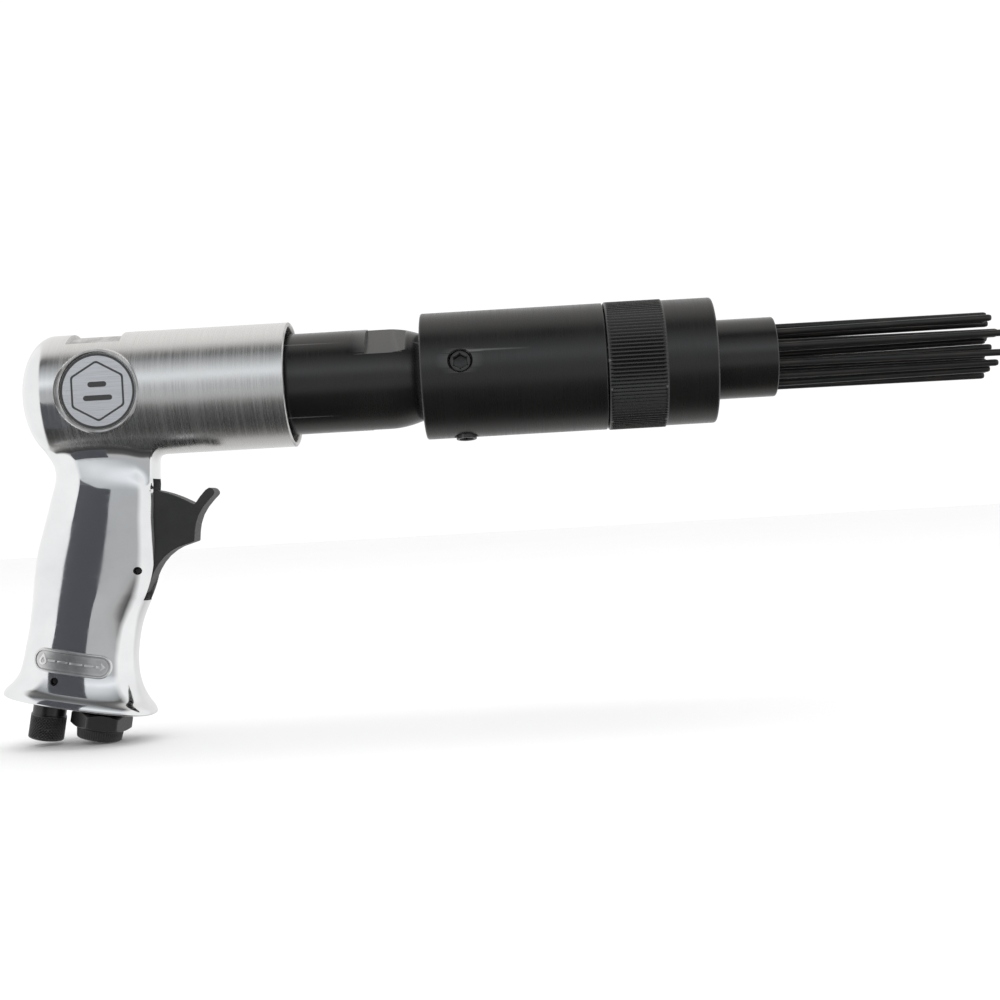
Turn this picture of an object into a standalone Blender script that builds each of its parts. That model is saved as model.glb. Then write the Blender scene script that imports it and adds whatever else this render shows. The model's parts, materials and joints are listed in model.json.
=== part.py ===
"""Pistol-grip pneumatic needle scaler, built from separate pieces that stay apart by a small gap.

Units are metres, +Z is up, +X points along the barrel to the needle tips and +Y is the tool's left.
Two local frames carry all the pieces, and both are empties:
  barrel frame  origin on the barrel axis at the housing's rear, X forward along the barrel
  grip frame    raked with the handle, X forward across the grip and Z up along it, so that a
                distance s down the handle is the height -s
"""

import math
from mathutils import Matrix, Vector

import bmesh
import bpy

GAP = 0.0003                    # clearance between touching pieces

# Where the tool stands: its lowest point is the dust plug, its middle is half way to the tips.
AXIS_HEIGHT = 0.1592            # barrel axis above the ground
AXIS_START = -0.2107            # housing's rear end, measured from the middle of the length
GRIP_RAKE = math.radians(11.3)
GRIP_AT = 0.029                 # where the grip's axis meets the barrel axis

# Housing
BARREL_RADIUS = 0.0284
BARREL_FRONT = 0.121
DOME_DEPTH = 0.0155
DOME_START = 0.014              # the dome runs from here back to DOME_START - DOME_DEPTH
LAND_RADIUS = 0.0233            # bore that holds the cylinder
LAND_FRONT = 0.057
BORE_REAR = 0.0055
EXHAUST_RADIUS = 0.0262         # wider bore that the air leaves through
BADGE_X = 0.0380
BADGE_RADIUS = 0.0169
BADGE_POCKET = 0.0172
BOSS_RADIUS = 0.0185
BOSS_FACE = 0.0266
BADGE_FLOOR = 0.0248
BADGE_THICKNESS = 0.0009
SLOT_REAR = 0.0228
SLOT_FRONT = 0.0460
SLOT_FLOOR = 0.0268
SLOT_LOW = 0.0225
FLANGE_S = 0.1405               # underside of the grip's flange
OVAL_S = 0.1207                 # middle of the raised oval on the grip
OVAL_U = 0.0113
OVAL_LENGTH = 0.0357
OVAL_WIDTH = 0.0105
OVAL_RISE = 0.0006
BADGE_STEPS = 36

# Trigger and throttle valve
TRIGGER_PIN_S = 0.0756
TRIGGER_PIN_U = 0.0341
TRIGGER_PIN_HALF = 0.0100
TRIGGER_WIDTH = 0.0126
TRIGGER_SLOT_WIDTH = 0.0138
TRIGGER_SLOT_TOP = 0.0335
TRIGGER_SLOT_BOTTOM = 0.0890
TRIGGER_SLOT_U = 0.0248
PIN_RADIUS = 0.0015
THROTTLE_S = 0.056
THROTTLE_REAR = -0.0065
THROTTLE_BORE = 0.0048
THROTTLE_BUSH_RADIUS = 0.0054

# Regulator and air inlet
REGULATOR_U = -0.0003
REGULATOR_BORE = 0.0058
REGULATOR_PIN_U = 0.0051        # the pin passes beside the stem, through its groove
REGULATOR_PIN_S = 0.1297
INLET_U = 0.0241
INLET_BORE = 0.0085
HEX_ACROSS_FLATS = 0.024
HEX_TURN = math.radians(-13)    # how far the hexagon stands turned in the grip
CROSS_DRILLING_S = 0.1155

# Power section
TUBE_RADIUS = 0.023
TUBE_REAR = 0.0303
PISTON_BORE = 0.012
SHANK_BORE = 0.009
NECK_RADIUS = 0.019
NECK_START = 0.181
NECK_END = 0.232
FLAT_START = 0.1563
FLAT_END = 0.1743
FLAT_ACROSS = 0.038
FLAT_TURN = math.radians(30)    # how far the flats' faces lean from straight up

# Needle attachment
SLEEVE_RADIUS = 0.0287
SLEEVE_FRONT = 0.2635
CAP_RADIUS = 0.0284
CAP_FRONT = 0.3124
KNURL_RADIUS = 0.0290
KNURL_FRONT = 0.290
CHAMBER_RADIUS = 0.024
SPIGOT_RADIUS = 0.0257
SCREW_X = 0.199
SCREW_RADIUS = 0.0046
SCREW_ANGLES = (8, -82, 188)    # degrees up from the right-hand side, the -Y side
SCREW_TOPS = (0.0272, 0.0300, 0.0272)
NOSE_RADIUS = 0.018
NOSE_BORE = 0.0162
NOSE_FRONT = 0.340
HOLDER_REAR = 0.2645
HOLDER_FRONT = 0.2725
HOLDER_RADIUS = 0.0236
NEEDLE_RADIUS = 0.0015
NEEDLE_LENGTH = 0.180
NEEDLE_HOLE = 0.0018
NEEDLE_RINGS = ((1, 0.0), (6, 0.0068), (12, 0.0134))
NEEDLE_LEAN = math.radians(0.55)
NEEDLE_PLAY = 0.0058            # how far back the loosest needle sits

BARREL_STEPS = 40
FITTING_STEPS = 24
SMALL_STEPS = 16
NEEDLE_STEPS = 8
HOLE_STEPS = 10

# colour, roughness, metallic
FINISHES = {
    "polished_aluminium": ((0.78, 0.78, 0.79), 0.18, 1.0),
    "badge_face": ((0.72, 0.74, 0.78), 0.35, 0.8),
    "blackened_steel": ((0.03, 0.03, 0.032), 0.38, 0.7),
    "needle_steel": ((0.08, 0.08, 0.085), 0.40, 0.9),
    "bare_steel": ((0.55, 0.55, 0.56), 0.30, 1.0),
    "black_plastic": ((0.02, 0.02, 0.021), 0.45, 0.0),
    "black_rubber": ((0.02, 0.02, 0.02), 0.70, 0.0),
    "brass": ((0.72, 0.55, 0.25), 0.30, 1.0),
}


# ---------------------------------------------------------------- tools

def clear_scene():
    for old in list(bpy.data.objects):
        bpy.data.objects.remove(old, do_unlink=True)


def make_collection(name):
    collection = bpy.data.collections.new(name)
    bpy.context.scene.collection.children.link(collection)
    return collection


def make_material(finish):
    colour, roughness, metallic = FINISHES[finish]
    material = bpy.data.materials.get(finish) or bpy.data.materials.new(finish)
    material.use_nodes = True
    shader = material.node_tree.nodes["Principled BSDF"]
    shader.inputs["Base Color"].default_value = (*colour, 1.0)
    shader.inputs["Roughness"].default_value = roughness
    shader.inputs["Metallic"].default_value = metallic
    return material


def make_frame(name, location, rake):
    frame = bpy.data.objects.new(name, None)
    frame.location = location
    frame.rotation_euler = (0.0, rake, 0.0)
    PARTS.objects.link(frame)
    return frame


def add_object(name, mesh, frame, matrix, finish=None):
    """Links a mesh as a part, or as a cutter when it has no finish."""
    part = bpy.data.objects.new(name, mesh)
    part.parent = frame
    part.matrix_local = matrix
    if finish is None:
        CUTTERS.objects.link(part)
        part.hide_render = True
        part.display_type = "WIRE"
    else:
        PARTS.objects.link(part)
        mesh.materials.append(make_material(finish))
    return part


def smooth(mesh, angle=35):
    mesh.shade_smooth()
    mesh.set_sharp_from_angle(angle=math.radians(angle))


def along_x(x=0.0, y=0.0, z=0.0):
    """Stands a turned piece's axis along the frame's X, at a point."""
    return Matrix.Translation((x, y, z)) @ Matrix.Rotation(math.pi / 2, 4, "Y")


def turned(name, profile, frame, matrix, steps, finish=None):
    """A turned piece. The profile is (distance along the axis, radius) pairs, from the low end
    along the outside to the high end, and then back along the bore if there is one."""
    mesh = bpy.data.meshes.new(name)
    vertices = [(radius, 0.0, along) for along, radius in reversed(profile)]
    edges = [(i, i + 1) for i in range(len(vertices) - 1)]
    if profile[0][1] > 0.0:
        edges.append((len(vertices) - 1, 0))
    mesh.from_pydata(vertices, edges, [])
    part = add_object(name, mesh, frame, matrix, finish)
    screw = part.modifiers.new("turn", "SCREW")
    screw.axis = "Z"
    screw.steps = steps
    screw.render_steps = steps
    screw.use_merge_vertices = True
    screw.merge_threshold = 0.00001
    screw.use_smooth_shade = True
    return part


def cylinder(name, start, end, radius, frame, steps, finish=None, turn=0.0):
    """A plain cylinder between two points of a frame, turned about its own axis."""
    start = Vector(start)
    end = Vector(end)
    work = bmesh.new()
    bmesh.ops.create_cone(
        work,
        cap_ends=True,
        segments=steps,
        radius1=radius,
        radius2=radius,
        depth=(end - start).length,
    )
    mesh = bpy.data.meshes.new(name)
    work.to_mesh(mesh)
    work.free()
    smooth(mesh)
    place = Matrix.Translation((start + end) / 2) @ (end - start).to_track_quat("Z", "Y").to_matrix().to_4x4()
    return add_object(name, mesh, frame, place @ Matrix.Rotation(turn, 4, "Z"), finish)


def box(name, low, high, frame):
    """A box cutter between two corners of a frame."""
    low = Vector(low)
    high = Vector(high)
    work = bmesh.new()
    bmesh.ops.create_cube(work, size=1.0)
    bmesh.ops.scale(work, vec=high - low, verts=work.verts)
    mesh = bpy.data.meshes.new(name)
    work.to_mesh(mesh)
    work.free()
    return add_object(name, mesh, frame, Matrix.Translation((low + high) / 2))


def combine(part, other, operation):
    modifier = part.modifiers.new(other.name, "BOOLEAN")
    modifier.operation = operation
    modifier.object = other


def cut(part, *cutters):
    for cutter in cutters:
        combine(part, cutter, "DIFFERENCE")


def join(part, *pieces):
    for piece in pieces:
        combine(part, piece, "UNION")


def baked_curve(name, curve, frame, matrix, finish=None):
    """Turns a curve into a closed mesh part, its end caps welded on."""
    source = bpy.data.objects.new(name + "_curve", curve)
    bpy.context.scene.collection.objects.link(source)
    evaluated = source.evaluated_get(bpy.context.evaluated_depsgraph_get())
    mesh = bpy.data.meshes.new_from_object(evaluated)
    mesh.name = name
    bpy.data.objects.remove(source, do_unlink=True)
    work = bmesh.new()
    work.from_mesh(mesh)
    bmesh.ops.remove_doubles(work, verts=work.verts, dist=0.00001)
    work.to_mesh(mesh)
    work.free()
    smooth(mesh)
    return add_object(name, mesh, frame, matrix, finish)


def extruded(name, outline, thickness, frame, matrix, finish=None):
    """A flat outline, listed as 2D points, with thickness along its local Z."""
    curve = bpy.data.curves.new(name, "CURVE")
    curve.dimensions = "2D"
    curve.fill_mode = "BOTH"
    curve.extrude = thickness / 2
    spline = curve.splines.new("POLY")
    spline.points.add(len(outline) - 1)
    for point, (x, y) in zip(spline.points, outline):
        point.co = (x, y, 0.0, 1.0)
    spline.use_cyclic_u = True
    return baked_curve(name, curve, frame, matrix, finish)


def coil(name, radius, wire, length, turns, points_per_turn, frame, matrix, finish):
    """A compression spring along local Z, its wire a few-sided tube."""
    curve = bpy.data.curves.new(name, "CURVE")
    curve.dimensions = "3D"
    curve.bevel_depth = wire
    curve.bevel_resolution = 2
    curve.use_fill_caps = True
    count = int(turns * points_per_turn) + 1
    spline = curve.splines.new("POLY")
    spline.points.add(count - 1)
    for index, point in enumerate(spline.points):
        share = index / (count - 1)
        angle = 2 * math.pi * turns * share
        height = wire + (length - 2 * wire) * share
        point.co = (radius * math.cos(angle), radius * math.sin(angle), height, 1.0)
    return baked_curve(name, curve, frame, matrix, finish)


def lofted(name, rings, frame):
    """A closed form through rings of matching points, which is a loft between unlike sections."""
    work = bmesh.new()
    loops = [[work.verts.new(point) for point in ring] for ring in rings]
    count = len(loops[0])
    for lower, upper in zip(loops, loops[1:]):
        for i in range(count):
            j = (i + 1) % count
            work.faces.new((lower[i], lower[j], upper[j], upper[i]))
    work.faces.new(loops[0])
    work.faces.new(loops[-1])
    bmesh.ops.recalc_face_normals(work, faces=work.faces)
    mesh = bpy.data.meshes.new(name)
    work.to_mesh(mesh)
    work.free()
    smooth(mesh)
    return add_object(name, mesh, frame, Matrix.Identity(4))


def dome(start, depth, radius, count=6):
    """Points on half of an ellipse, from the axis at its rear round to its full radius."""
    points = []
    for i in range(count + 1):
        angle = math.pi / 2 * i / count
        points.append((start - depth * math.cos(angle), radius * math.sin(angle)))
    return points


# ---------------------------------------------------------------- housing

def grip_section(s, rear, front, half_width, count=20, squareness=2.5):
    """One rounded cross-section of the grip, square to its axis, s down the handle."""
    middle = (rear + front) / 2
    half = (front - rear) / 2
    ring = []
    for i in range(count):
        angle = 2 * math.pi * i / count
        cosine = math.cos(angle)
        sine = math.sin(angle)
        across = half * math.copysign(abs(cosine) ** (2 / squareness), cosine)
        side = half_width * math.copysign(abs(sine) ** (2 / squareness), sine)
        ring.append((middle + across, side, -s))
    return ring


def grip_body(name, swell=0.0):
    """The grip and its flange: (s, rear edge, front edge, half width) down the handle."""
    sections = (
        (0.016, -0.0150, 0.0320, 0.0130),
        (0.030, -0.0150, 0.0330, 0.0140),
        (0.0375, -0.0118, 0.0357, 0.0150),
        (0.0510, -0.0123, 0.0378, 0.0158),
        (0.0630, -0.0136, 0.0400, 0.0162),
        (0.0760, -0.0149, 0.0408, 0.0163),
        (0.0860, -0.0147, 0.0394, 0.0162),
        (0.0900, -0.0145, 0.0383, 0.0162),
        (0.1000, -0.0140, 0.0362, 0.0159),
        (0.1090, -0.0139, 0.0359, 0.0157),
        (0.1170, -0.0143, 0.0366, 0.0158),
        (0.1250, -0.0147, 0.0386, 0.0165),
        (0.1300, -0.0155, 0.0410, 0.0177),
        (0.1345, -0.0178, 0.0443, 0.0196),
        (0.1382, -0.0206, 0.0477, 0.0220),
        (FLANGE_S, -0.0208, 0.0480, 0.0222),
    )
    rings = [grip_section(s, rear, front, half + swell) for s, rear, front, half in sections]
    return lofted(name, rings, GRIP)


def oval_pad():
    """A raised oval on the grip's right side, its face following the grip's own curve."""
    pad = grip_body("oval_pad", OVAL_RISE)
    half_width = OVAL_WIDTH / 2
    half_straight = OVAL_LENGTH / 2 - half_width
    outline = []
    for end, start in ((1, -math.pi / 2), (-1, math.pi / 2)):
        for i in range(9):
            angle = start + math.pi * i / 8
            x = end * half_straight + half_width * math.cos(angle)
            outline.append((x, half_width * math.sin(angle)))
    place = Matrix.Translation((OVAL_U, -0.012, -OVAL_S)) @ Matrix.Rotation(math.pi / 2, 4, "X")
    limit = extruded("oval_limit", outline, 0.012, GRIP, place)
    combine(pad, limit, "INTERSECT")
    return pad


def trigger_lug():
    """The small lug under the barrel that the trigger's top tucks behind."""
    outline = (
        (0.0470, -0.0240), (0.0572, -0.0240), (0.0556, -0.0300), (0.0550, -0.0400),
        (0.0534, -0.0424), (0.0470, -0.0424),
    )
    matrix = Matrix.Rotation(math.pi / 2, 4, "X")
    return extruded("trigger_lug", outline, 0.0180, BARREL, matrix)


def barrel_bore():
    profile = (
        (BORE_REAR, 0.0),
        (BORE_REAR, LAND_RADIUS),
        (LAND_FRONT, LAND_RADIUS),
        (LAND_FRONT, EXHAUST_RADIUS),
        (BARREL_FRONT + 0.002, EXHAUST_RADIUS),
        (BARREL_FRONT + 0.002, 0.0),
    )
    half_step = Matrix.Rotation(math.pi / BARREL_STEPS, 4, "Z")
    return turned("barrel_bore", profile, BARREL, along_x() @ half_step, BARREL_STEPS)


def top_slot():
    """A shallow recess over the barrel's top, with a floor that follows the barrel."""
    profile = (
        (SLOT_REAR, SLOT_FLOOR),
        (SLOT_REAR, BARREL_RADIUS + 0.003),
        (SLOT_FRONT, BARREL_RADIUS + 0.003),
        (SLOT_FRONT, SLOT_FLOOR),
    )
    ring = turned("top_slot", profile, BARREL, along_x(), BARREL_STEPS + 4)
    upper = box("top_slot_limit", (0.0, -0.04, SLOT_LOW), (0.06, 0.04, 0.04), BARREL)
    combine(ring, upper, "INTERSECT")
    return ring


def grip_drillings():
    """The air's way through the grip, from the inlet past the regulator and the throttle."""
    def drill(name, start, end, radius):
        (u0, s0), (u1, s1) = start, end
        return cylinder(name, (u0, 0.0, -s0), (u1, 0.0, -s1), radius, GRIP, SMALL_STEPS)

    below = FLANGE_S + 0.002
    return (
        drill("inlet_bore", (INLET_U, 0.124), (INLET_U, below), INLET_BORE),
        drill("regulator_bore", (REGULATOR_U, 0.103), (REGULATOR_U, below), REGULATOR_BORE),
        drill("cross_drilling", (REGULATOR_U, CROSS_DRILLING_S), (INLET_U - 0.002, 0.1285), 0.0025),
        drill("riser", (REGULATOR_U, 0.106), (0.0125, THROTTLE_S), 0.0030),
        drill("throttle_bore", (THROTTLE_REAR, THROTTLE_S), (TRIGGER_SLOT_U + 0.001, THROTTLE_S), THROTTLE_BORE),
        drill("bush_bore", (0.0157, THROTTLE_S), (TRIGGER_SLOT_U + 0.001, THROTTLE_S), THROTTLE_BUSH_RADIUS + GAP),
        drill("barrel_feed", (REGULATOR_U, THROTTLE_S), (REGULATOR_U, 0.019), 0.0030),
    )


def badge_cutters(side):
    def disc(name, radius, start):
        return cylinder(name, (BADGE_X, side * start, 0.0), (BADGE_X, side * 0.032, 0.0), radius, BARREL, BADGE_STEPS)

    label = "left" if side > 0 else "right"
    spot = disc(f"badge_spot_{label}", BOSS_RADIUS + 0.0003, BOSS_FACE)
    pocket = disc(f"badge_pocket_{label}", BADGE_POCKET, BADGE_FLOOR)
    return spot, pocket


def build_housing():
    outside = dome(DOME_START, DOME_DEPTH, BARREL_RADIUS)
    outside += [
        (BARREL_FRONT - 0.0006, BARREL_RADIUS),
        (BARREL_FRONT, BARREL_RADIUS - 0.0006),
        (BARREL_FRONT, 0.0),
    ]
    housing = turned("housing", outside, BARREL, along_x(), BARREL_STEPS, "polished_aluminium")
    boss = cylinder(
        "badge_boss",
        (BADGE_X, -BOSS_FACE - 0.0004, 0.0),
        (BADGE_X, BOSS_FACE + 0.0004, 0.0),
        BOSS_RADIUS,
        BARREL,
        BARREL_STEPS,
    )
    join(housing, grip_body("grip_body"), oval_pad(), trigger_lug(), boss)
    cut(housing, barrel_bore(), top_slot())
    cut(housing, *badge_cutters(-1), *badge_cutters(1))
    half_slot = TRIGGER_SLOT_WIDTH / 2
    trigger_slot = box(
        "trigger_slot",
        (TRIGGER_SLOT_U, -half_slot, -TRIGGER_SLOT_BOTTOM),
        (0.060, half_slot, -TRIGGER_SLOT_TOP),
        GRIP,
    )
    cut(housing, trigger_slot, *grip_drillings())
    pin_at = (TRIGGER_PIN_U, -TRIGGER_PIN_S)
    pin_hole = cylinder(
        "trigger_pin_hole",
        (pin_at[0], -0.03, pin_at[1]),
        (pin_at[0], 0.03, pin_at[1]),
        PIN_RADIUS + GAP,
        GRIP,
        SMALL_STEPS,
    )
    regulator_hole = cylinder(
        "regulator_pin_hole",
        (REGULATOR_PIN_U, -0.03, -REGULATOR_PIN_S),
        (REGULATOR_PIN_U, 0.0063, -REGULATOR_PIN_S),
        PIN_RADIUS + GAP,
        GRIP,
        SMALL_STEPS,
    )
    cut(housing, pin_hole, regulator_hole)


def build_badges():
    low = BADGE_FLOOR + GAP
    for side, name in ((-1, "badge_right"), (1, "badge_left")):
        start = (BADGE_X, side * low, 0.0)
        end = (BADGE_X, side * (low + BADGE_THICKNESS), 0.0)
        cylinder(name, start, end, BADGE_RADIUS, BARREL, BARREL_STEPS, "badge_face")


# ---------------------------------------------------------------- power section

def build_cylinder():
    taper_start = 0.166
    ogive = []
    for i in range(5):
        share = i / 4
        x = taper_start + (NECK_START - GAP - taper_start) * share
        ogive.append((x, TUBE_RADIUS - 0.0034 * share ** 1.6))
    profile = [(TUBE_REAR, TUBE_RADIUS - 0.0008), (TUBE_REAR + 0.0008, TUBE_RADIUS)]
    profile += ogive
    profile += [
        (NECK_START - GAP, NECK_RADIUS),
        (0.1935, NECK_RADIUS),
        (0.1945, 0.0175),
        (0.2035, 0.0175),
        (0.2045, NECK_RADIUS),
        (NECK_END, NECK_RADIUS),
        (NECK_END, SHANK_BORE),
        (0.175, SHANK_BORE),
        (0.172, PISTON_BORE),
        (TUBE_REAR, PISTON_BORE),
    ]
    tube = turned("cylinder", profile, BARREL, along_x(), BARREL_STEPS, "blackened_steel")
    for side, label in ((1, "upper"), (-1, "lower")):
        flat = box(f"wrench_flat_{label}", (-0.009, -0.03, 0.0), (0.009, 0.03, 0.012), BARREL)
        middle = Vector(((FLAT_START + FLAT_END) / 2, 0.0, 0.0))
        lean = FLAT_TURN if side > 0 else FLAT_TURN + math.pi
        out = Matrix.Rotation(lean, 4, "X") @ Matrix.Translation((0.0, 0.0, FLAT_ACROSS / 2 + 0.006))
        flat.matrix_local = Matrix.Translation(middle) @ out
        cut(tube, flat)
    for index in range(2):
        angle = math.pi / 4 + index * math.pi / 2
        reach = Vector((0.0, math.cos(angle), math.sin(angle))) * 0.03
        middle = Vector((0.095, 0.0, 0.0))
        port = cylinder(f"exhaust_port_{index + 1}", middle - reach, middle + reach, 0.003, BARREL, SMALL_STEPS)
        cut(tube, port)


def build_valve():
    cap = (
        (0.0058, 0.0), (0.0058, TUBE_RADIUS), (0.0120, TUBE_RADIUS),
        (0.0120, 0.0160), (0.0112, 0.0160), (0.0112, 0.0),
    )
    turned("valve_cap", cap, BARREL, along_x(), BARREL_STEPS, "bare_steel")
    chest = (
        (0.0123, 0.0160), (0.0123, TUBE_RADIUS), (0.0200, TUBE_RADIUS), (0.0200, 0.0205),
        (0.0275, 0.0205), (0.0275, TUBE_RADIUS), (0.0300, TUBE_RADIUS), (0.0300, 0.0060),
        (0.0160, 0.0060), (0.0160, 0.0160),
    )
    turned("valve_chest", chest, BARREL, along_x(), BARREL_STEPS, "bare_steel")
    disc = ((0.0132, 0.0040), (0.0132, 0.0150), (0.0146, 0.0150), (0.0146, 0.0040))
    turned("valve_disc", disc, BARREL, along_x(), FITTING_STEPS, "bare_steel")


def build_piston():
    profile = (
        (0.060, 0.0), (0.060, 0.0108), (0.0609, 0.0117), (0.1091, 0.0117), (0.110, 0.0108), (0.110, 0.0),
    )
    turned("piston", profile, BARREL, along_x(), FITTING_STEPS, "bare_steel")


def build_anvil():
    profile = (
        (0.1655, 0.0), (0.1655, 0.0078), (0.1665, 0.0086), (0.2395, 0.0086),
        (0.2405, 0.0150), (0.2495, 0.0150), (0.2505, 0.0140), (0.2505, 0.0),
    )
    turned("anvil", profile, BARREL, along_x(), FITTING_STEPS, "bare_steel")


# ---------------------------------------------------------------- needle attachment

def radial(angle, distance, x):
    """A point of the barrel frame, its angle counted up from the right-hand side."""
    turn = math.radians(angle)
    return Vector((x, -distance * math.cos(turn), distance * math.sin(turn)))


def build_sleeve():
    profile = (
        (NECK_START, NECK_RADIUS + GAP), (NECK_START, SLEEVE_RADIUS - 0.001),
        (NECK_START + 0.001, SLEEVE_RADIUS), (SLEEVE_FRONT - 0.0005, SLEEVE_RADIUS),
        (SLEEVE_FRONT, SLEEVE_RADIUS - 0.0005), (SLEEVE_FRONT, SPIGOT_RADIUS + GAP),
        (0.2482, SPIGOT_RADIUS + GAP), (0.2482, CHAMBER_RADIUS), (0.226, CHAMBER_RADIUS),
        (0.226, NECK_RADIUS + GAP),
    )
    sleeve = turned("attachment_sleeve", profile, BARREL, along_x(), BARREL_STEPS, "blackened_steel")
    for index, angle in enumerate(SCREW_ANGLES):
        start = radial(angle, 0.015, SCREW_X)
        end = radial(angle, 0.033, SCREW_X)
        hole = cylinder(f"screw_hole_{index + 1}", start, end, SCREW_RADIUS + GAP, BARREL, SMALL_STEPS)
        cut(sleeve, hole)


def build_set_screws():
    for index, (angle, top) in enumerate(zip(SCREW_ANGLES, SCREW_TOPS)):
        name = f"set_screw_{index + 1}"
        base = radial(angle, 0.0179, SCREW_X)
        end = radial(angle, top, SCREW_X)
        screw = cylinder(name, base, end, SCREW_RADIUS, BARREL, SMALL_STEPS, "blackened_steel")
        mouth = radial(angle, top - 0.004, SCREW_X)
        outside = radial(angle, top + 0.002, SCREW_X)
        socket = cylinder(f"{name}_socket", mouth, outside, 0.0029, BARREL, 6)
        cut(screw, socket)


def build_front_cap():
    profile = (
        (0.2486, CHAMBER_RADIUS), (0.2486, SPIGOT_RADIUS - 0.0005), (0.2491, SPIGOT_RADIUS),
        (SLEEVE_FRONT + GAP, SPIGOT_RADIUS), (SLEEVE_FRONT + GAP, KNURL_RADIUS - 0.0008),
        (SLEEVE_FRONT + 0.0011, KNURL_RADIUS), (KNURL_FRONT - 0.0008, KNURL_RADIUS),
        (KNURL_FRONT, CAP_RADIUS), (CAP_FRONT - 0.001, CAP_RADIUS), (CAP_FRONT, CAP_RADIUS - 0.001),
        (CAP_FRONT, NOSE_RADIUS + GAP), (0.3003, NOSE_RADIUS + GAP), (0.3003, CHAMBER_RADIUS),
    )
    turned("front_cap", profile, BARREL, along_x(), BARREL_STEPS, "blackened_steel")


def build_nose_tube():
    profile = (
        (0.296, NOSE_BORE), (0.296, 0.0230), (0.300, 0.0230), (0.300, NOSE_RADIUS),
        (NOSE_FRONT - 0.0005, NOSE_RADIUS), (NOSE_FRONT, NOSE_RADIUS - 0.0005), (NOSE_FRONT, NOSE_BORE),
    )
    turned("nose_tube", profile, BARREL, along_x(), BARREL_STEPS, "blackened_steel")


def needle_places():
    """Each needle's seat in the holder, its lean and how far back it sits."""
    places = []
    for count, radius in NEEDLE_RINGS:
        for index in range(count):
            around = 2 * math.pi * (index + 0.5) / count
            seat = Vector((0.0, radius * math.cos(around), radius * math.sin(around)))
            number = len(places)
            lean_y = NEEDLE_LEAN * math.sin(2.4 * number)
            lean_z = NEEDLE_LEAN * math.cos(1.7 * number)
            play = NEEDLE_PLAY * (0.5 + 0.5 * math.sin(5.1 * number + 1.0))
            places.append((seat, lean_y, lean_z, play))
    return places


def build_needle_holder():
    middle = (HOLDER_REAR + HOLDER_FRONT) / 2
    half = (HOLDER_FRONT - HOLDER_REAR) / 2
    profile = ((-half, 0.0), (-half, HOLDER_RADIUS), (half, HOLDER_RADIUS), (half, 0.0))
    holder = turned("needle_holder", profile, BARREL, along_x(middle), BARREL_STEPS, "bare_steel")
    for number, (seat, _, _, _) in enumerate(needle_places()):
        start = Vector((HOLDER_REAR - 0.002, seat.y, seat.z))
        end = Vector((HOLDER_FRONT + 0.002, seat.y, seat.z))
        cut(holder, cylinder(f"needle_hole_{number + 1:02d}", start, end, NEEDLE_HOLE, BARREL, HOLE_STEPS))


def build_needles():
    """Nineteen needles, each turned about its own slightly leaning axis through the holder."""
    head = (HOLDER_FRONT - HOLDER_REAR) / 2 + 0.0003
    rear = -(head + 0.003)
    tip = rear + NEEDLE_LENGTH
    profile = (
        (rear, 0.0), (rear, 0.0023), (-head, 0.0023), (-head, NEEDLE_RADIUS),
        (tip - 0.0005, NEEDLE_RADIUS), (tip, NEEDLE_RADIUS - 0.0005), (tip, 0.0),
    )
    middle = (HOLDER_REAR + HOLDER_FRONT) / 2
    for number, (seat, lean_y, lean_z, play) in enumerate(needle_places()):
        direction = Vector((1.0, lean_y, lean_z)).normalized()
        turn = direction.to_track_quat("Z", "Y").to_matrix().to_4x4()
        at = Vector((middle, seat.y, seat.z)) - play * direction
        matrix = Matrix.Translation(at) @ turn
        turned(f"needle_{number + 1:02d}", profile, BARREL, matrix, NEEDLE_STEPS, "needle_steel")


def build_return_spring():
    start = HOLDER_FRONT + GAP
    length = 0.296 - GAP - start
    coil("return_spring", 0.0195, 0.0012, length, 4.5, 12, BARREL, along_x(start), "bare_steel")


# ---------------------------------------------------------------- trigger and throttle

def build_trigger():
    """The trigger, cut from a side outline in the barrel frame and hung on its pin."""
    outline = (
        (0.0520, -0.0449), (0.0550, -0.0446), (0.0581, -0.0453), (0.0621, -0.0466), (0.0661, -0.0483),
        (0.0700, -0.0503), (0.0736, -0.0523), (0.0762, -0.0489), (0.0789, -0.0460), (0.0808, -0.0449),
        (0.0822, -0.0456), (0.0831, -0.0470), (0.0829, -0.0481), (0.0804, -0.0505), (0.0776, -0.0536),
        (0.0753, -0.0571), (0.0738, -0.0611), (0.0731, -0.0647), (0.0727, -0.0690), (0.0683, -0.0703),
        (0.0652, -0.0712), (0.0620, -0.0728), (0.0587, -0.0752), (0.0560, -0.0781), (0.0537, -0.0816),
        (0.0520, -0.0851), (0.0502, -0.0881), (0.0485, -0.0911), (0.0474, -0.0920), (0.0460, -0.0896),
        (0.0440, -0.0850), (0.0430, -0.0808), (0.0440, -0.0772), (0.0480, -0.0720), (0.0505, -0.0640),
        (0.0515, -0.0540),
    )
    pin = GRIP.matrix_local @ Vector((TRIGGER_PIN_U, 0.0, -TRIGGER_PIN_S)) - BARREL.matrix_local.translation
    local = [(x - pin.x, z - pin.z) for x, z in outline]
    matrix = Matrix.Translation(pin) @ Matrix.Rotation(math.pi / 2, 4, "X")
    trigger = extruded("trigger", local, TRIGGER_WIDTH, BARREL, matrix, "black_plastic")
    bevel = trigger.modifiers.new("edges", "BEVEL")
    bevel.width = 0.0008
    bevel.segments = 1
    bevel.limit_method = "ANGLE"
    bevel.angle_limit = math.radians(60)
    hole = cylinder(
        "trigger_hole",
        (TRIGGER_PIN_U, -0.02, -TRIGGER_PIN_S),
        (TRIGGER_PIN_U, 0.02, -TRIGGER_PIN_S),
        PIN_RADIUS + GAP,
        GRIP,
        SMALL_STEPS,
    )
    cut(trigger, hole)


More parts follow.
